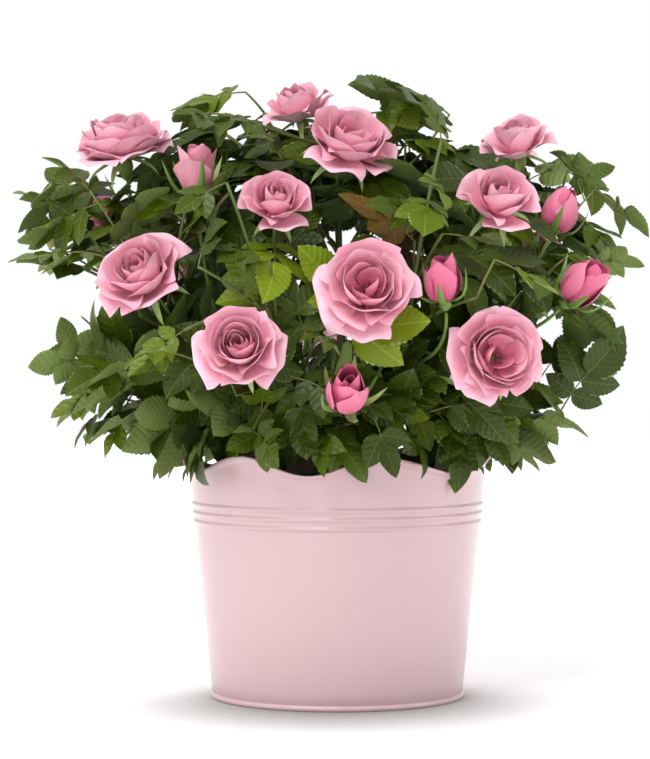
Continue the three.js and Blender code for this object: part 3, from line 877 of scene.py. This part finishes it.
class Foliage:
    """The leaves of one mass: their mesh, their stalks' mesh, and the middles of all leaflets so far."""

    middles = []

    def __init__(self, random, stems):
        self.random = random
        self.stems = stems
        self.shape = Shape()

    def add_leaf(self, place, tangent, angle, is_tip, tone):
        """A compound leaf in the first of several turns and sizes that leaves it room, or none."""
        for size in LEAF["sizes"]:
            for tried in range(LEAF["tries"]):
                turn = math.radians(angle + tried * 360 / LEAF["tries"])
                pose = leaf_pose(place, tangent, turn, is_tip, self.random)
                plan = plan_leaf(place, pose, size * mix(0.65, 1.18, self.random()), self.random)
                if self.has_room(plan):
                    self.draw(plan, tone)
                    return True
        return False

    def has_room(self, plan):
        tips = np.array([base + direction * length for base, direction, _, length in plan["leaflets"]])
        bases = np.array([leaflet[0] for leaflet in plan["leaflets"]])
        middles = mix(bases, tips, 0.5)
        points = np.concatenate([middles, tips])
        if (crown_share(points) > lobed_reach(points)).any():
            return False
        if in_pot(points).any() or hides_flower(points).any():
            return False
        if Foliage.middles:
            others = np.array(Foliage.middles)
            near = np.linalg.norm(middles[:, None] - others[None], axis=2) < LEAF["room"]
            if near.any(axis=1).sum() > 1:
                return False
        plan["middles"] = list(middles)
        return True

    def draw(self, plan, tone):
        Foliage.middles.extend(plan["middles"])
        shares = np.linspace(0, 1, 6)
        add_tube(self.stems, plan["stalk"].point(shares), limb_radii(PETIOLE, shares), 4, 1)
        for leaflet in plan["leaflets"]:
            add_leaflet(self.shape, *leaflet, tone, self.random)


def leaf_pose(place, tangent, angle, is_tip, random):
    """A leaf's direction and upper side: out round its twig at an angle, its upper side outwards and
    up. A leaf at the tip of a twig carries on along it, and low leaves hang."""
    outward = unit(place - HEART)
    aside = unit(np.cross(outward, UP))
    above = np.cross(aside, outward)
    if is_tip:
        direction = tangent + 0.5 * outward
    else:
        direction = 0.35 * outward + math.cos(angle) * aside + math.sin(angle) * above
    low = smoothstep(CROWN["centre"][2] - place[2], 20, 90)
    near_pot = 1 - smoothstep(radius_of(place), *LEAF["near_pot"])
    at_rim = near_pot * smoothstep(LEAF["rim_zone"] - place[2], 0, 22)
    direction = unit(direction - UP * (0.04 + 0.3 * low + mix(0.2, 0.9, random()) * at_rim))
    turned = 1.8 * (random() - 0.5) * aside + 1.1 * (random() - 0.5) * above
    return direction, unit(0.7 * outward + 0.6 * UP + turned)


def plan_leaf(place, pose, size, random):
    """The curve of a compound leaf's stalk, and the base, direction, normal and length of each of its
    three or five leaflets."""
    direction, normal = pose
    side = unit(np.cross(normal, direction))
    face = np.cross(direction, side)
    reach = LEAF["stalk"] * size
    end = place + direction * reach - UP * PETIOLE["sag"] * reach
    stalk = Curve(place, place + direction * reach * 0.55, end)
    onward = unit(stalk.tangent(1) + 0.1 * face)
    leaflets = [(end, onward, face, LEAFLET["length"] * size * mix(0.9, 1.15, random()))]
    pairs = LEAF["pairs"][: 1 if random() < LEAF["one_pair"] else 2]
    for share, scale, angle in pairs:
        for flank in (-1, 1):
            turn = math.radians(angle * mix(0.85, 1.15, random()))
            way = stalk.tangent(share) * math.cos(turn) + side * flank * math.sin(turn)
            tilt = unit(face + 0.35 * (random() - 0.5) * side + 0.3 * (random() - 0.5) * direction)
            length = LEAFLET["length"] * size * scale * mix(0.85, 1.15, random())
            leaflets.append((stalk.point(share), unit(way - UP * 0.12), tilt, length))
    return {"stalk": stalk, "leaflets": leaflets}


def pick_tone(place, random):
    """A tone for a spray. Young growth high up and far out is fresher, and low leaves are old."""
    young = smoothstep(crown_share(place), 0.6, 0.9) * smoothstep(place[2], 150, 320)
    value = random() * (1 - 0.5 * young) + 0.48 * young * random() ** 0.5
    value *= mix(0.84, 1, smoothstep(place[2], 160, 230))
    return int(np.searchsorted(np.cumsum(TONE_SHARES)[:-1], value))


def left_out(place, random):
    """True by chance for a leaf at the crown's low sides, where the plant is open."""
    low = smoothstep(CROWN["centre"][2] - place[2], *THINNING["below"])
    far = smoothstep(radius_of(place), *THINNING["radius"])
    return random() < THINNING["share"] * low * far


def dress_limb(curve, foliage, spacing=LEAF["spacing"], bare=LEAF["bare"], thinned=True):
    """Leaves along a limb, in a spiral round it, with one at its tip. Returns the share of the limb
    at which the last leaf stands, or 0 for none."""
    random = foliage.random
    count = max(1, round((1 - bare) * curve.length() / spacing))
    first_turn = random() * 360
    tone = pick_tone(curve.point(1), random)
    last = 0.0
    for i in range(count, 0, -1):
        share = mix(bare, 0.99, i / count)
        place = curve.point(share)
        if thinned and i < count and left_out(place, random):
            continue
        leaf_tone = tone if random() < 0.7 else pick_tone(place, random)
        turn = first_turn + i * LEAF["turn"]
        if foliage.add_leaf(place, curve.tangent(share), turn, i == count, leaf_tone):
            last = max(last, share)
    return last


def side_shoots(twig, random):
    """Short side shoots of a twig, out towards the crown's outline, each with its start's share."""
    shoots = []
    first_turn = random() * 360
    for i, share in enumerate(SHOOT["shares"]):
        start, tangent = twig.point(share), twig.tangent(share)
        outward = unit(start - HEART)
        aside = unit(np.cross(tangent, outward))
        turn = math.radians(first_turn + i * SHOOT["turn"])
        around = math.cos(turn) * aside + math.sin(turn) * np.cross(aside, tangent)
        direction = unit(0.5 * tangent + 0.55 * outward + 0.75 * around)
        end = start + direction * mix(*SHOOT["lengths"], random())
        is_out = crown_share(end) >= SHOOT["reach"]
        if not (is_out or in_pot(end[None]).any() or hides_flower(end[None]).any()):
            shoots.append((share, arched(start, end, SHOOT["arch"])))
    return shoots


def low_shoots(mass, random):
    """Shoots of a bough in the ring that lean out over the pot's rim."""
    if mass["index"] == 0:
        return []
    shoots = []
    for group in LOW_SHOOTS:
        for share, turn in group["starts"]:
            start = mass["bough"]["curve"].point(share)
            end = heading(mass_angle(mass["index"]) + turn) * mix(*group["radius"], random())
            end = end + UP * mix(*group["height"], random())
            shoots.append(arched(start, end, LOW_SHOOT_ARCH))
    return shoots


def dress_mass(mass, leaf_set, twig_set):
    """The twigs, shoots and leaves that replace one mass. Its flowers' stalks have leaves too."""
    random = seeded_random(SEED + mass["index"])
    stems = Shape()
    add_limb(stems, mass["stem"]["curve"], MASS_STEM, 8, 16)
    twigs = grow_twigs(mass, random)
    foliage = Foliage(random, stems)

    def add_shoot(curve, steps, **leaves):
        """Adds a leafy shoot, which ends at its last leaf. Returns whether it has any."""
        last = dress_limb(curve, foliage, **leaves)
        if last > 0:
            add_limb(stems, curve, SHOOT, 5, steps, 1, last)
        return last > 0

    for tip in SPRAYS:
        if nearest_mass(tip) == mass["index"]:
            spray = arched(mass["stem"]["curve"].point(SPRAY["start"]), tip, SPRAY["arch"])
            add_shoot(spray, 12, spacing=SPRAY["spacing"], bare=SPRAY["bare"], thinned=False)
    for flower in flowers:
        if flower["mass"] == mass["index"]:
            dress_limb(flower["stalk"]["curve"], foliage, FLOWER_STALK["spacing"], FLOWER_STALK["bare"])
    for shoot in low_shoots(mass, random):
        add_shoot(shoot, 10)
    for twig in twigs:
        last = dress_limb(twig, foliage)
        for start, shoot in side_shoots(twig, random):
            if add_shoot(shoot, 6):
                last = max(last, start)
        if last > 0:
            add_limb(stems, twig, TWIG, 6, 10, 0, last)
    number = mass["index"] + 1
    stems.piece(f"twigs_{number}", twig_set, "green_wood", [f"leaf_mass_{number}"])
    foliage.shape.piece(f"leaves_{number}", leaf_set, "leaf", [f"leaf_mass_{number}"])


# ---------- Flowers ----------

# The middle line of a petal is a curve from the axis: [radius, height] of its other three control
# points, in shares of the flower's width, for petals of a rank from 0, innermost, to 1.
PETALS = {
    "rose": {
        "ranks": (0, 0.25, 0.5, 0.75, 1),
        "open": (
            ((0.07, 0.02), (0.09, 0.20), (0.06, 0.31)),
            ((0.15, 0.01), (0.20, 0.22), (0.18, 0.37)),
            ((0.25, -0.01), (0.30, 0.22), (0.32, 0.37)),
            ((0.32, -0.04), (0.42, 0.16), (0.52, 0.24)),
            ((0.32, -0.07), (0.50, 0.10), (0.60, 0.02)),
        ),
        "closed": (
            ((0.08, 0.02), (0.09, 0.28), (0.03, 0.42)),
            ((0.15, 0.01), (0.18, 0.30), (0.12, 0.46)),
            ((0.24, 0.00), (0.28, 0.30), (0.27, 0.45)),
            ((0.31, -0.02), (0.38, 0.24), (0.46, 0.36)),
            ((0.34, -0.05), (0.48, 0.14), (0.60, 0.14)),
        ),
        "widths": (0.14, 0.22, 0.31, 0.38, 0.40),
        "wraps": (1.0, 1.0, 0.92, 0.8, 0.6),
        "rolls": (0.0, 0.2, 0.6, 1.1, 1.4),
        "foot": 0.02,
        "reach": 0.54,
        "shade": 0.0,
    },
    "bud": {
        "ranks": (0, 0.5, 1),
        "open": (
            ((0.16, 0.05), (0.22, 0.70), (0.10, 1.06)),
            ((0.44, 0.02), (0.32, 0.70), (0.40, 1.14)),
            ((0.58, 0.00), (0.44, 0.45), (0.62, 0.72)),
        ),
        "closed": (
            ((0.16, 0.05), (0.24, 0.75), (0.04, 1.08)),
            ((0.42, 0.05), (0.46, 0.75), (0.12, 1.14)),
            ((0.56, 0.02), (0.56, 0.70), (0.22, 1.06)),
        ),
        "widths": (0.36, 0.5, 0.62),
        "wraps": (1.0, 1.0, 0.9),
        "rolls": (0.0, 0.3, 0.7),
        "foot": 0.08,
        "reach": 0.57,
        "shade": -0.6,
    },
}

# The styles of blooms and buds: how far the petals are open, how many there are, how wide the heart is,
# how the petals crowd towards the heart (over 1), how unevenly they stand, how broad they are, and how
# much paler than others of their kind.
STYLE_VALUES = ("open", "count", "heart", "crowd", "uneven", "broad", "pale")
STYLES = {
    "flat": (0.8, 44, 1.1, 0.9, 1.1, 0.72, 0),
    "cup": (0.95, 21, 1.45, 0.85, 1.4, 1.0, 0),
    "hollow": (1.0, 26, 1.7, 0.8, 1.2, 0.9, 0),
    "spiral": (0.6, 25, 1.1, 1.15, 0.9, 1.0, 0),
    "high": (0.2, 18, 1.1, 0.95, 1.3, 1.0, 0),
    "flared": (0.95, 10, 1.0, 1.0, 0.8, 0.9, 0.35),
    "split": (0.5, 9, 1.0, 1.0, 1.0, 0.85, 0),
    "tight": (0.0, 7, 1.0, 1.0, 0.5, 1.0, 0),
}
PETAL_CELLS = (14, 10)  # across and along
PETAL_THICKNESS = 0.3
GOLDEN_ANGLE = 137.508
# The shade of a petal's outer and inner side: at its base, its rise to the rim, and the rise's power. The
# deep base is partly the petal's own colour and partly painted shade.
PETAL_SHADES = ((0.44, 0.32, 1.2), (0.38, 0.38, 1.4))

# Control points of a sepal under a bloom, a flared one of a bud, and one that clasps it.
SEPALS = {
    "bloom": np.array([(0.07, -0.03), (0.20, -0.08), (0.36, -0.10), (0.42, -0.24)]),
    "flared": np.array([(0.10, 0.00), (0.56, -0.08), (0.72, 0.34), (1.00, 0.66)]),
    "clasping": np.array([(0.10, 0.00), (0.66, -0.06), (0.74, 0.50), (0.62, 0.98)]),
}
SEPAL_WIDTHS = {"rose": 0.04, "bud": 0.1}  # half, as shares of the flower's width
SEPAL_THICKNESS = 0.35
# The urn of green under the petals: heights and radii, and how much wider it is by the kind of flower.
HIP = [(-0.24, 0.035), (-0.19, 0.055), (-0.13, 0.085), (-0.07, 0.085), (-0.02, 0.07), (0.02, 0.1)]
HIP_WIDTHS = {"rose": 1.0, "bud": 1.9}


def at_rank(form, name, rank):
    """The values of a form at a petal's rank, between those that its table gives."""
    table = np.array(form[name], float)
    flat = table.reshape(len(table), -1)
    values = [np.interp(rank, form["ranks"], column) for column in flat.T]
    return np.array(values).reshape(table.shape[1:])


def cubic(points, share):
    """Places and unit directions along a cubic Bezier curve of four control points."""
    p0, p1, p2, p3 = np.array(points, float)
    w = share[..., None]
    place = (1 - w) ** 3 * p0 + 3 * w * (1 - w) ** 2 * p1 + 3 * w**2 * (1 - w) * p2 + w**3 * p3
    way = (1 - w) ** 2 * (p1 - p0) + 2 * w * (1 - w) * (p2 - p1) + w**2 * (p3 - p2)
    return place, units(way)


def beside_curve(middle, way, offset):
    """The radius and height of places at an offset across a curve, to its left."""
    return middle[..., 0] - offset * way[..., 1], middle[..., 1] + offset * way[..., 0]


def petal_line(form, rank, style, random):
    """The four control points of a petal's middle line, each petal's a little its own."""
    line = mix(at_rank(form, "closed", rank), at_rank(form, "open", rank), style["open"])
    uneven = style["uneven"]
    stretch = [1 + 0.09 * uneven * (2 * random() - 1), 1 + 0.07 * uneven * (2 * random() - 1)]
    heart = mix(style["heart"], 1, smoothstep(rank, 0.05, 0.6))
    return np.vstack([[form["foot"], 0], line * np.array(stretch) * np.array([heart, 1])])


def from_middle(steps):
    """How far each column is from the middle one, by the steps between them."""
    places = np.concatenate([np.zeros((len(steps), 1)), np.cumsum(steps, axis=1)], axis=1)
    middle = steps.shape[1] // 2
    return places - places[:, middle : middle + 1]


def petal_grid(form, rank, style, random):
    """A petal's grid of points, upright about +Z with its middle on +X, and how far along and across
    it each is. Its rows curl round the flower's axis and roll out at their ends."""
    columns, rows = PETAL_CELLS
    across = np.linspace(-1, 1, columns + 1)
    fall, tip = mix(0.14, 0.3, random()), 0.1 * smoothstep(rank, 0.3, 0.8)
    rim = 1 - fall * np.abs(across) ** 2.4 + tip * np.exp(-((across / 0.26) ** 2))
    along = np.linspace(0, 1, rows + 1)[:, None] * rim
    middle, way = cubic(petal_line(form, rank, style, random), along)
    half = at_rank(form, "widths", rank) * (0.3 + 0.7 * np.sin(math.pi / 2 * np.minimum(along / 0.72, 1)))
    aside = across * half * style["broad"] * mix(0.85, 1.12, random())
    curl = at_rank(form, "wraps", rank) / np.maximum(middle[..., 0], 0.03)
    roll = at_rank(form, "rolls", rank) * mix(0.5, 1.25, random()) * smoothstep(along, 0.4, 1)
    turn = aside * curl - np.sign(across) * roll * smoothstep(np.abs(across), 0.35, 1)
    between = (turn[:, 1:] + turn[:, :-1]) / 2
    sideways = from_middle(np.cos(between) * np.diff(aside, axis=1))
    inward = from_middle(np.sin(between) * np.diff(aside, axis=1))
    inward -= 0.012 * (across + 1) * (rank < 0.5)
    first, second, third = (random() * ANY_PHASE for _ in range(3))
    ripple = np.sin(2.3 * across + first) + 0.6 * np.sin(4.9 * across + second)
    ripple = ripple + 0.5 * np.sin(5 * along + third)
    inward += 0.014 * style["uneven"] * (0.3 + rank) * along**2 * ripple
    sideways += 0.3 * style["uneven"] * (random() - 0.5) * along * middle[..., 1]
    radius, height = beside_curve(middle, way, inward)
    return np.stack([radius, sideways, height], axis=-1), along, aside


def petal_notes(shades, rank, along, aside, tint, random):
    """The shade of each point, deep at the base and in the heart and pale towards the rim, and its place
    along and across the petal. The depth at the base and in the heart is partly the petal's own colour and
    partly painted shade."""
    base, rise, power = shades
    shade = base + 0.24 * rank + rise * along**power + tint + 0.1 * (random() - 0.5)
    return np.stack([np.clip(shade, 0, 1), along, aside], axis=-1)


def on_flower(points, flower):
    """Points about +Z in millimetres, turned to the flower's axis and moved to its base."""
    axis = flower["axis"]
    across = unit(np.cross(UP, axis))
    return points @ np.stack([across, np.cross(axis, across), axis]) + flower["base"]


def turned_about_axis(points, angle):
    c, s = math.cos(math.radians(angle)), math.sin(math.radians(angle))
    return points @ np.array([[c, s, 0], [-s, c, 0], [0, 0, 1]])


def add_petals(shape, flower, random):
    """The petals of a flower, in a spiral of golden angles from its heart outwards, scaled so that
    the widest reach half of the flower's width."""
    form = PETALS[flower["kind"]]
    style = dict(zip(STYLE_VALUES, STYLES[flower["style"]]))
    first = random() * 360
    made = []
    for i in range(style["count"]):
        rank = (i / (style["count"] - 1)) ** style["crowd"]
        grid, along, aside = petal_grid(form, rank, style, random)
        angle = first + i * GOLDEN_ANGLE + mix(-14, 14, random()) * style["uneven"]
        made.append((turned_about_axis(grid, angle), rank, along, aside))
    reach = max(radius_of(grid).max() for grid, *_ in made) / form["reach"]
    scale = flower["width"] * np.array([1 / reach, 1 / reach, 1])
    tint = form["shade"] + style["pale"]
    for grid, *place in made:
        notes = [petal_notes(shades, *place, tint, random) for shades in PETAL_SHADES]
        add_sheet(shape, on_flower(grid * scale, flower), PETAL_THICKNESS, (0, 0), notes)


def add_sepals(shape, flower, random):
    """Five narrow sepals under the petals: they hang from a bloom, and clasp a bud or flare from it."""
    across = np.linspace(-1, 1, 5)
    along = np.linspace(0, 1, 11)[:, None] + 0 * across
    for i in range(5):
        if flower["kind"] == "rose":
            line = SEPALS["bloom"]
        else:
            line = mix(SEPALS["clasping"], SEPALS["flared"], random())
        middle, way = cubic(line * mix(0.9, 1.1, random()), along)
        half = SEPAL_WIDTHS[flower["kind"]] * (1.35 - along) * np.minimum(1, 3 * along + 0.5)
        half = half * np.minimum(1, 4 * (1.02 - along))
        radius, height = beside_curve(middle, way, 0.5 * np.abs(across) * half)
        grid = np.stack([radius, across * half, height], axis=-1) * flower["width"]
        grid = turned_about_axis(grid, i * 72 + mix(-10, 10, random()))
        add_sheet(shape, on_flower(grid, flower), SEPAL_THICKNESS, (1, 2))


def add_hip(shape, flower):
    """The small green urn under the petals, along the flower's axis."""
    heights, radii = np.array(HIP).T * flower["width"]
    points = flower["base"] + heights[:, None] * flower["axis"]
    add_tube(shape, points, radii * HIP_WIDTHS[flower["kind"]], 14, 0)


def dress_flowers(petal, green_set):
    """A mesh of petals for each flower, and one of all the stalks, hips and sepals."""
    greens = Shape()
    for i, flower in enumerate(flowers):
        random = seeded_random(SEED * 7 + i)
        petals = Shape()
        add_petals(petals, flower, random)
        petals.piece(f"{flower['name']}_petals", [petal], "petal", [flower["name"]])
        add_limb(greens, flower["stalk"]["curve"], FLOWER_STALK, 8, 16)
        add_hip(greens, flower)
        add_sepals(greens, flower, random)
    greens.piece("flower_stalks", green_set, "green_wood", [flower["name"] for flower in flowers])


# ---------- Trunk, pot and soil ----------

# The rolled edge of the pot's rim: its radius, and how far it stands out from the middle of the wall.
RIM_ROLL = {"radius": 1.6, "out": 0.7}


def add_bark_limb(shape, grown, sides, steps, relief):
    """Adds a limb whose surface has the bark's furrows."""
    shares = np.linspace(-0.01, 1, steps + 1)
    seed = grown["curve"].end[0]
    turn = ring_angles(sides)
    rough = np.array([
        [noise.noise(Vector((3 * math.cos(a), 3 * math.sin(a), 9 * share + seed))) for a in turn]
        for share in shares
    ])
    radii = limb_radii(grown["form"], shares)[:, None] + relief * rough
    add_tube(shape, grown["curve"].point(shares), radii, sides)


def build_stems():
    bark = stem_material("bark", [(92, 72, 48), (128, 104, 70), (92, 96, 52)], 0.85, 160)
    trunk = Shape()
    add_bark_limb(trunk, main_stem, 40, 60, 1.1)
    trunk.piece("bark_of_main_stem", [bark], "bark", ["main_stem"])
    cane = stem_material("cane", [(92, 112, 54), (120, 110, 62), (104, 124, 58)], 0.6, 120)
    canes = Shape()
    for mass in masses:
        add_bark_limb(canes, mass["bough"], 18, 40, 0.35)
    canes.piece("bark_of_boughs", [cane], "green_wood", [f"bough_{i + 1}" for i in range(len(masses))])


def rib_height(height):
    """How far the pot's beads stand out at a height."""
    out = np.zeros_like(height)
    for middle in POT["rib_heights"]:
        share = np.clip(np.abs(height - middle) / (POT["rib_width"] / 2), 0, 1)
        out += POT["rib"] * np.cos(math.pi / 2 * share) ** 1.5
    return out


def arc(middle, radii, first, last, steps):
    """Places on an oval about a middle, between two angles in half turns."""
    turns = np.linspace(first * math.pi, last * math.pi, steps)
    return [(middle[0] + radii[0] * math.cos(a), middle[1] + radii[1] * math.sin(a)) for a in turns]


def pot_profile():
    """The pot's profile as [radius, height]: underside, rolled seam, wall with beads, rolled rim,
    inside and floor."""
    foot_radius, seam = pot_radius(0), POT["seam_height"] / 2
    top, roll = POT["rim_height"], RIM_ROLL["radius"]
    foot = [(0, 0), (30, 0), (foot_radius - 1.2, 0), (foot_radius - 0.3, 0.05)]
    bead = arc((foot_radius, seam), (POT["seam"], seam), -0.5, 0.5, 9)
    heights = np.concatenate([
        np.linspace(POT["seam_height"] + 0.5, 96, 16),
        np.linspace(98, 112, 57),
        np.linspace(114, top - 2 * roll, 18),
    ])
    wall = list(zip(pot_radius(heights) + rib_height(heights), heights))
    middle = pot_radius(top) - POT["wall"] / 2 + RIM_ROLL["out"]
    edge = arc((middle, top - roll), (roll, roll), -0.35, 1.35, 15)
    inside = [(pot_radius(h) - POT["wall"], h) for h in np.linspace(top - 3, POT["floor"], 30)]
    return [*foot, *bead, *wall, *edge, *inside, (0, POT["floor"])]


def waved(points):
    """Raises the rim in waves and flares its lip outwards, as the solid's."""
    rise = np.maximum(0, (points[:, 2] - POT["wave_foot"]) / (POT["rim_height"] - POT["wave_foot"]))
    flare = np.maximum(0, 1 - (POT["rim_height"] - points[:, 2]) / POT["lip_height"])
    share = 1 + POT["lip"] * flare**2 / np.maximum(radius_of(points), MM)
    lift = POT["wave"] * rise * rim_wave(angle_of(points))
    return np.column_stack([points[:, 0] * share, points[:, 1] * share, points[:, 2] + lift])


def nursery_profile():
    """The nursery pot's profile: outside, a lip that stands out, and inside."""
    n = NURSERY_POT
    foot = POT["floor"] + GAP
    low, high, lip = n["height"] - n["lip_height"], n["height"], n["rim_radius"] + n["lip"]
    outside = [(0, foot), (n["foot_radius"] - 1, foot), (n["foot_radius"], foot + 1), (n["rim_radius"], low)]
    outside += [(n["rim_radius"] + 0.3, low), (lip, low + 0.2), (lip, high - 0.5), (lip - 0.5, high)]
    inside = [(n["rim_radius"] - n["wall"] + 0.5, high), (n["rim_radius"] - n["wall"], high - 0.5)]
    inside += [(n["foot_radius"] - n["wall"], foot + n["wall"]), (0, foot + n["wall"])]
    return outside + inside


def build_pots():
    coat = {"Specular_IOR_Level": 0.3, "Coat_Weight": 0.4, "Coat_Roughness": 0.07}
    paint = Material("pot_paint", (201, 170, 174), 0.32, **coat)
    paint.bump(paint.noise(500, 2), 0.04, 0.2)
    pot = Shape()
    add_turned(pot, pot_profile(), CORNERS["pot"], waved)
    pot.piece("painted_pot", [paint.data], "pot_paint", ["pot"])
    plastic = plain_material("black_plastic", (26, 28, 30), 0.5, 1200, 0.3)
    shell = Shape()
    add_turned(shell, nursery_profile(), CORNERS["round"])
    shell.piece("nursery_pot_shell", [plastic], "black_plastic", ["nursery_pot"])


def crumb_height(x, y):
    """The relief of the soil's top: lumps of a few sizes."""
    place = Vector((x, y, 0))
    lumps = noise.noise(place * 0.12) * 2.2 + noise.noise(place * 0.35) * 1.2 + noise.noise(place * 0.9) * 0.7
    return lumps - 0.8


def crumbled(points):
    """Gives the soil's top its lumps."""
    top = points[:, 2] > SOIL["height"] - 1
    lift = [crumb_height(x, y) if on_top else 0 for (x, y, _), on_top in zip(points, top)]
    return points + np.outer(lift, UP)


def build_soil():
    soil = Material("potting_soil", (46, 36, 28), 0.95)
    stops = [(0.3, (30, 23, 18)), (0.55, (52, 40, 31)), (0.75, (78, 62, 48))]
    soil.drive("Base Color", soil.ramp(soil.noise(300, 6), stops))
    soil.bump(soil.noise(700, 6), 0.8, 1.5)
    room = NURSERY_POT["wall"] + 2 * GAP
    radius = mix(NURSERY_POT["foot_radius"], NURSERY_POT["rim_radius"], 0.95) - room
    bottom = POT["floor"] + room
    rings = np.linspace(radius, 1.5, 44)
    top = [(ring, SOIL["height"] + SOIL["mound"] * (1 - ring / radius)) for ring in rings]
    shape = Shape()
    peak = (0, SOIL["height"] + SOIL["mound"])
    profile = [(0, bottom), (NURSERY_POT["foot_radius"] - room, bottom), *top, peak]
    add_turned(shape, profile, CORNERS["round"], crumbled)
    shape.piece("crumbly_soil", [soil.data], "soil", ["potting_soil"])


# ---------- The setting ----------


def aimed_object(name, data, place, aim):
    """A light or camera at a place that looks at an aim."""
    made = bpy.data.objects.new(name, data)
    made.location = place
    made.rotation_mode = "QUATERNION"
    made.rotation_quaternion = (Vector(aim) - Vector(place)).to_track_quat("-Z", "Y")
    bpy.context.scene.collection.objects.link(made)
    return made


def build_lights():
    """A soft key light, as wide as a large softbox, and a panel on either side."""
    sun = bpy.data.lights.new(SUN["name"], "SUN")
    sun.energy, sun.angle = SUN["power"], math.radians(SUN["angle"])
    aimed_object(SUN["name"], sun, (0, 0, 0), -Vector(SUN["direction"]))
    for name, (place, size, power) in PANELS.items():
        panel = bpy.data.lights.new(name, "AREA")
        panel.shape = "RECTANGLE"
        panel.size, panel.size_y = size
        panel.energy = power
        aimed_object(name, panel, place, LIGHT_AIM)


def build_surround():
    """A studio's surround: white near the horizon, and dimmer overhead."""
    world = bpy.data.worlds.new("white_surround")
    world.use_nodes = True
    nodes = Nodes(world.node_tree)
    direction = nodes.add("TexCoord", out="Generated")
    height = nodes.math("ABSOLUTE", nodes.add("SeparateXYZ", {0: direction}, "Z"))
    fall = nodes.add("MapRange", {"Value": height, **SURROUND}, interpolation_type="SMOOTHSTEP")
    background = nodes.nodes["Background"]
    background.inputs["Color"].default_value = (1, 1, 1, 1)
    nodes.link(fall, background.inputs["Strength"])
    bpy.context.scene.world = world


def floor_material():
    """White paper that glows evenly, as a light table does, with a painted shadow round what stands on it: an
    occlusion ramp greys its colour and glow, most of all in front, as light from above and behind would shade
    it."""
    paper = Material("pale_floor", (248, 248, 248), 0.9, Emission_Strength=FLOOR["glow"])
    tilted = paper.add("CombineXYZ", FLOOR["tilt"])
    inputs = {"Distance": FLOOR["painted_shadow_reach"], "Normal": tilted}
    open_share = paper.add("AmbientOcclusion", inputs, "AO", samples=12)
    # Painted shadow: grey close to what stands on the floor, white further out.
    stops = [(0.25, (110, 107, 106)), (0.6, (168, 167, 166)), (0.9, (248, 248, 248))]
    shade = paper.ramp(open_share, stops)
    return paper.drive("Base Color", shade).drive("Emission Color", shade).data


def build_floor():
    half = FLOOR["half"]
    mesh = bpy.data.meshes.new("floor")
    corners = [(-half, -half, 0), (half, -half, 0), (half, half, 0), (-half, half, 0)]
    mesh.from_pydata(corners, [], [(0, 1, 2, 3)])
    mesh.materials.append(floor_material())
    floor = bpy.data.objects.new("floor", mesh)
    bpy.context.scene.collection.objects.link(floor)


def build_camera():
    """The camera at the photograph's angle."""
    camera = bpy.data.cameras.new("camera")
    camera.lens, camera.sensor_width = CAMERA["lens"], 36
    scene = bpy.context.scene
    scene.camera = aimed_object("camera", camera, CAMERA["place"], CAMERA["aim"])
    scene.view_settings.view_transform = "Standard"


# ---------- Building it all ----------

build_surround()
build_floor()
build_lights()
build_camera()
main_stem = grow_main_stem()
masses = [grow_mass(index) for index in range(len(CENTRES))]
flowers = grow_flowers()
build_pots()
build_soil()
build_stems()
green = plain_material("stalk_green", (106, 134, 58), 0.5)
sepal = plain_material("sepal", (100, 136, 52), 0.5)
sepal_under = plain_material("sepal_under", (150, 172, 104), 0.6)
dress_flowers(petal_material(), [green, sepal, sepal_under])
leaf_set = leaf_materials()
twig_set = [plain_material("twig", (92, 104, 48), 0.6), plain_material("young_twig", (106, 110, 50), 0.55)]
for mass in masses:
    dress_mass(mass, leaf_set, twig_set)
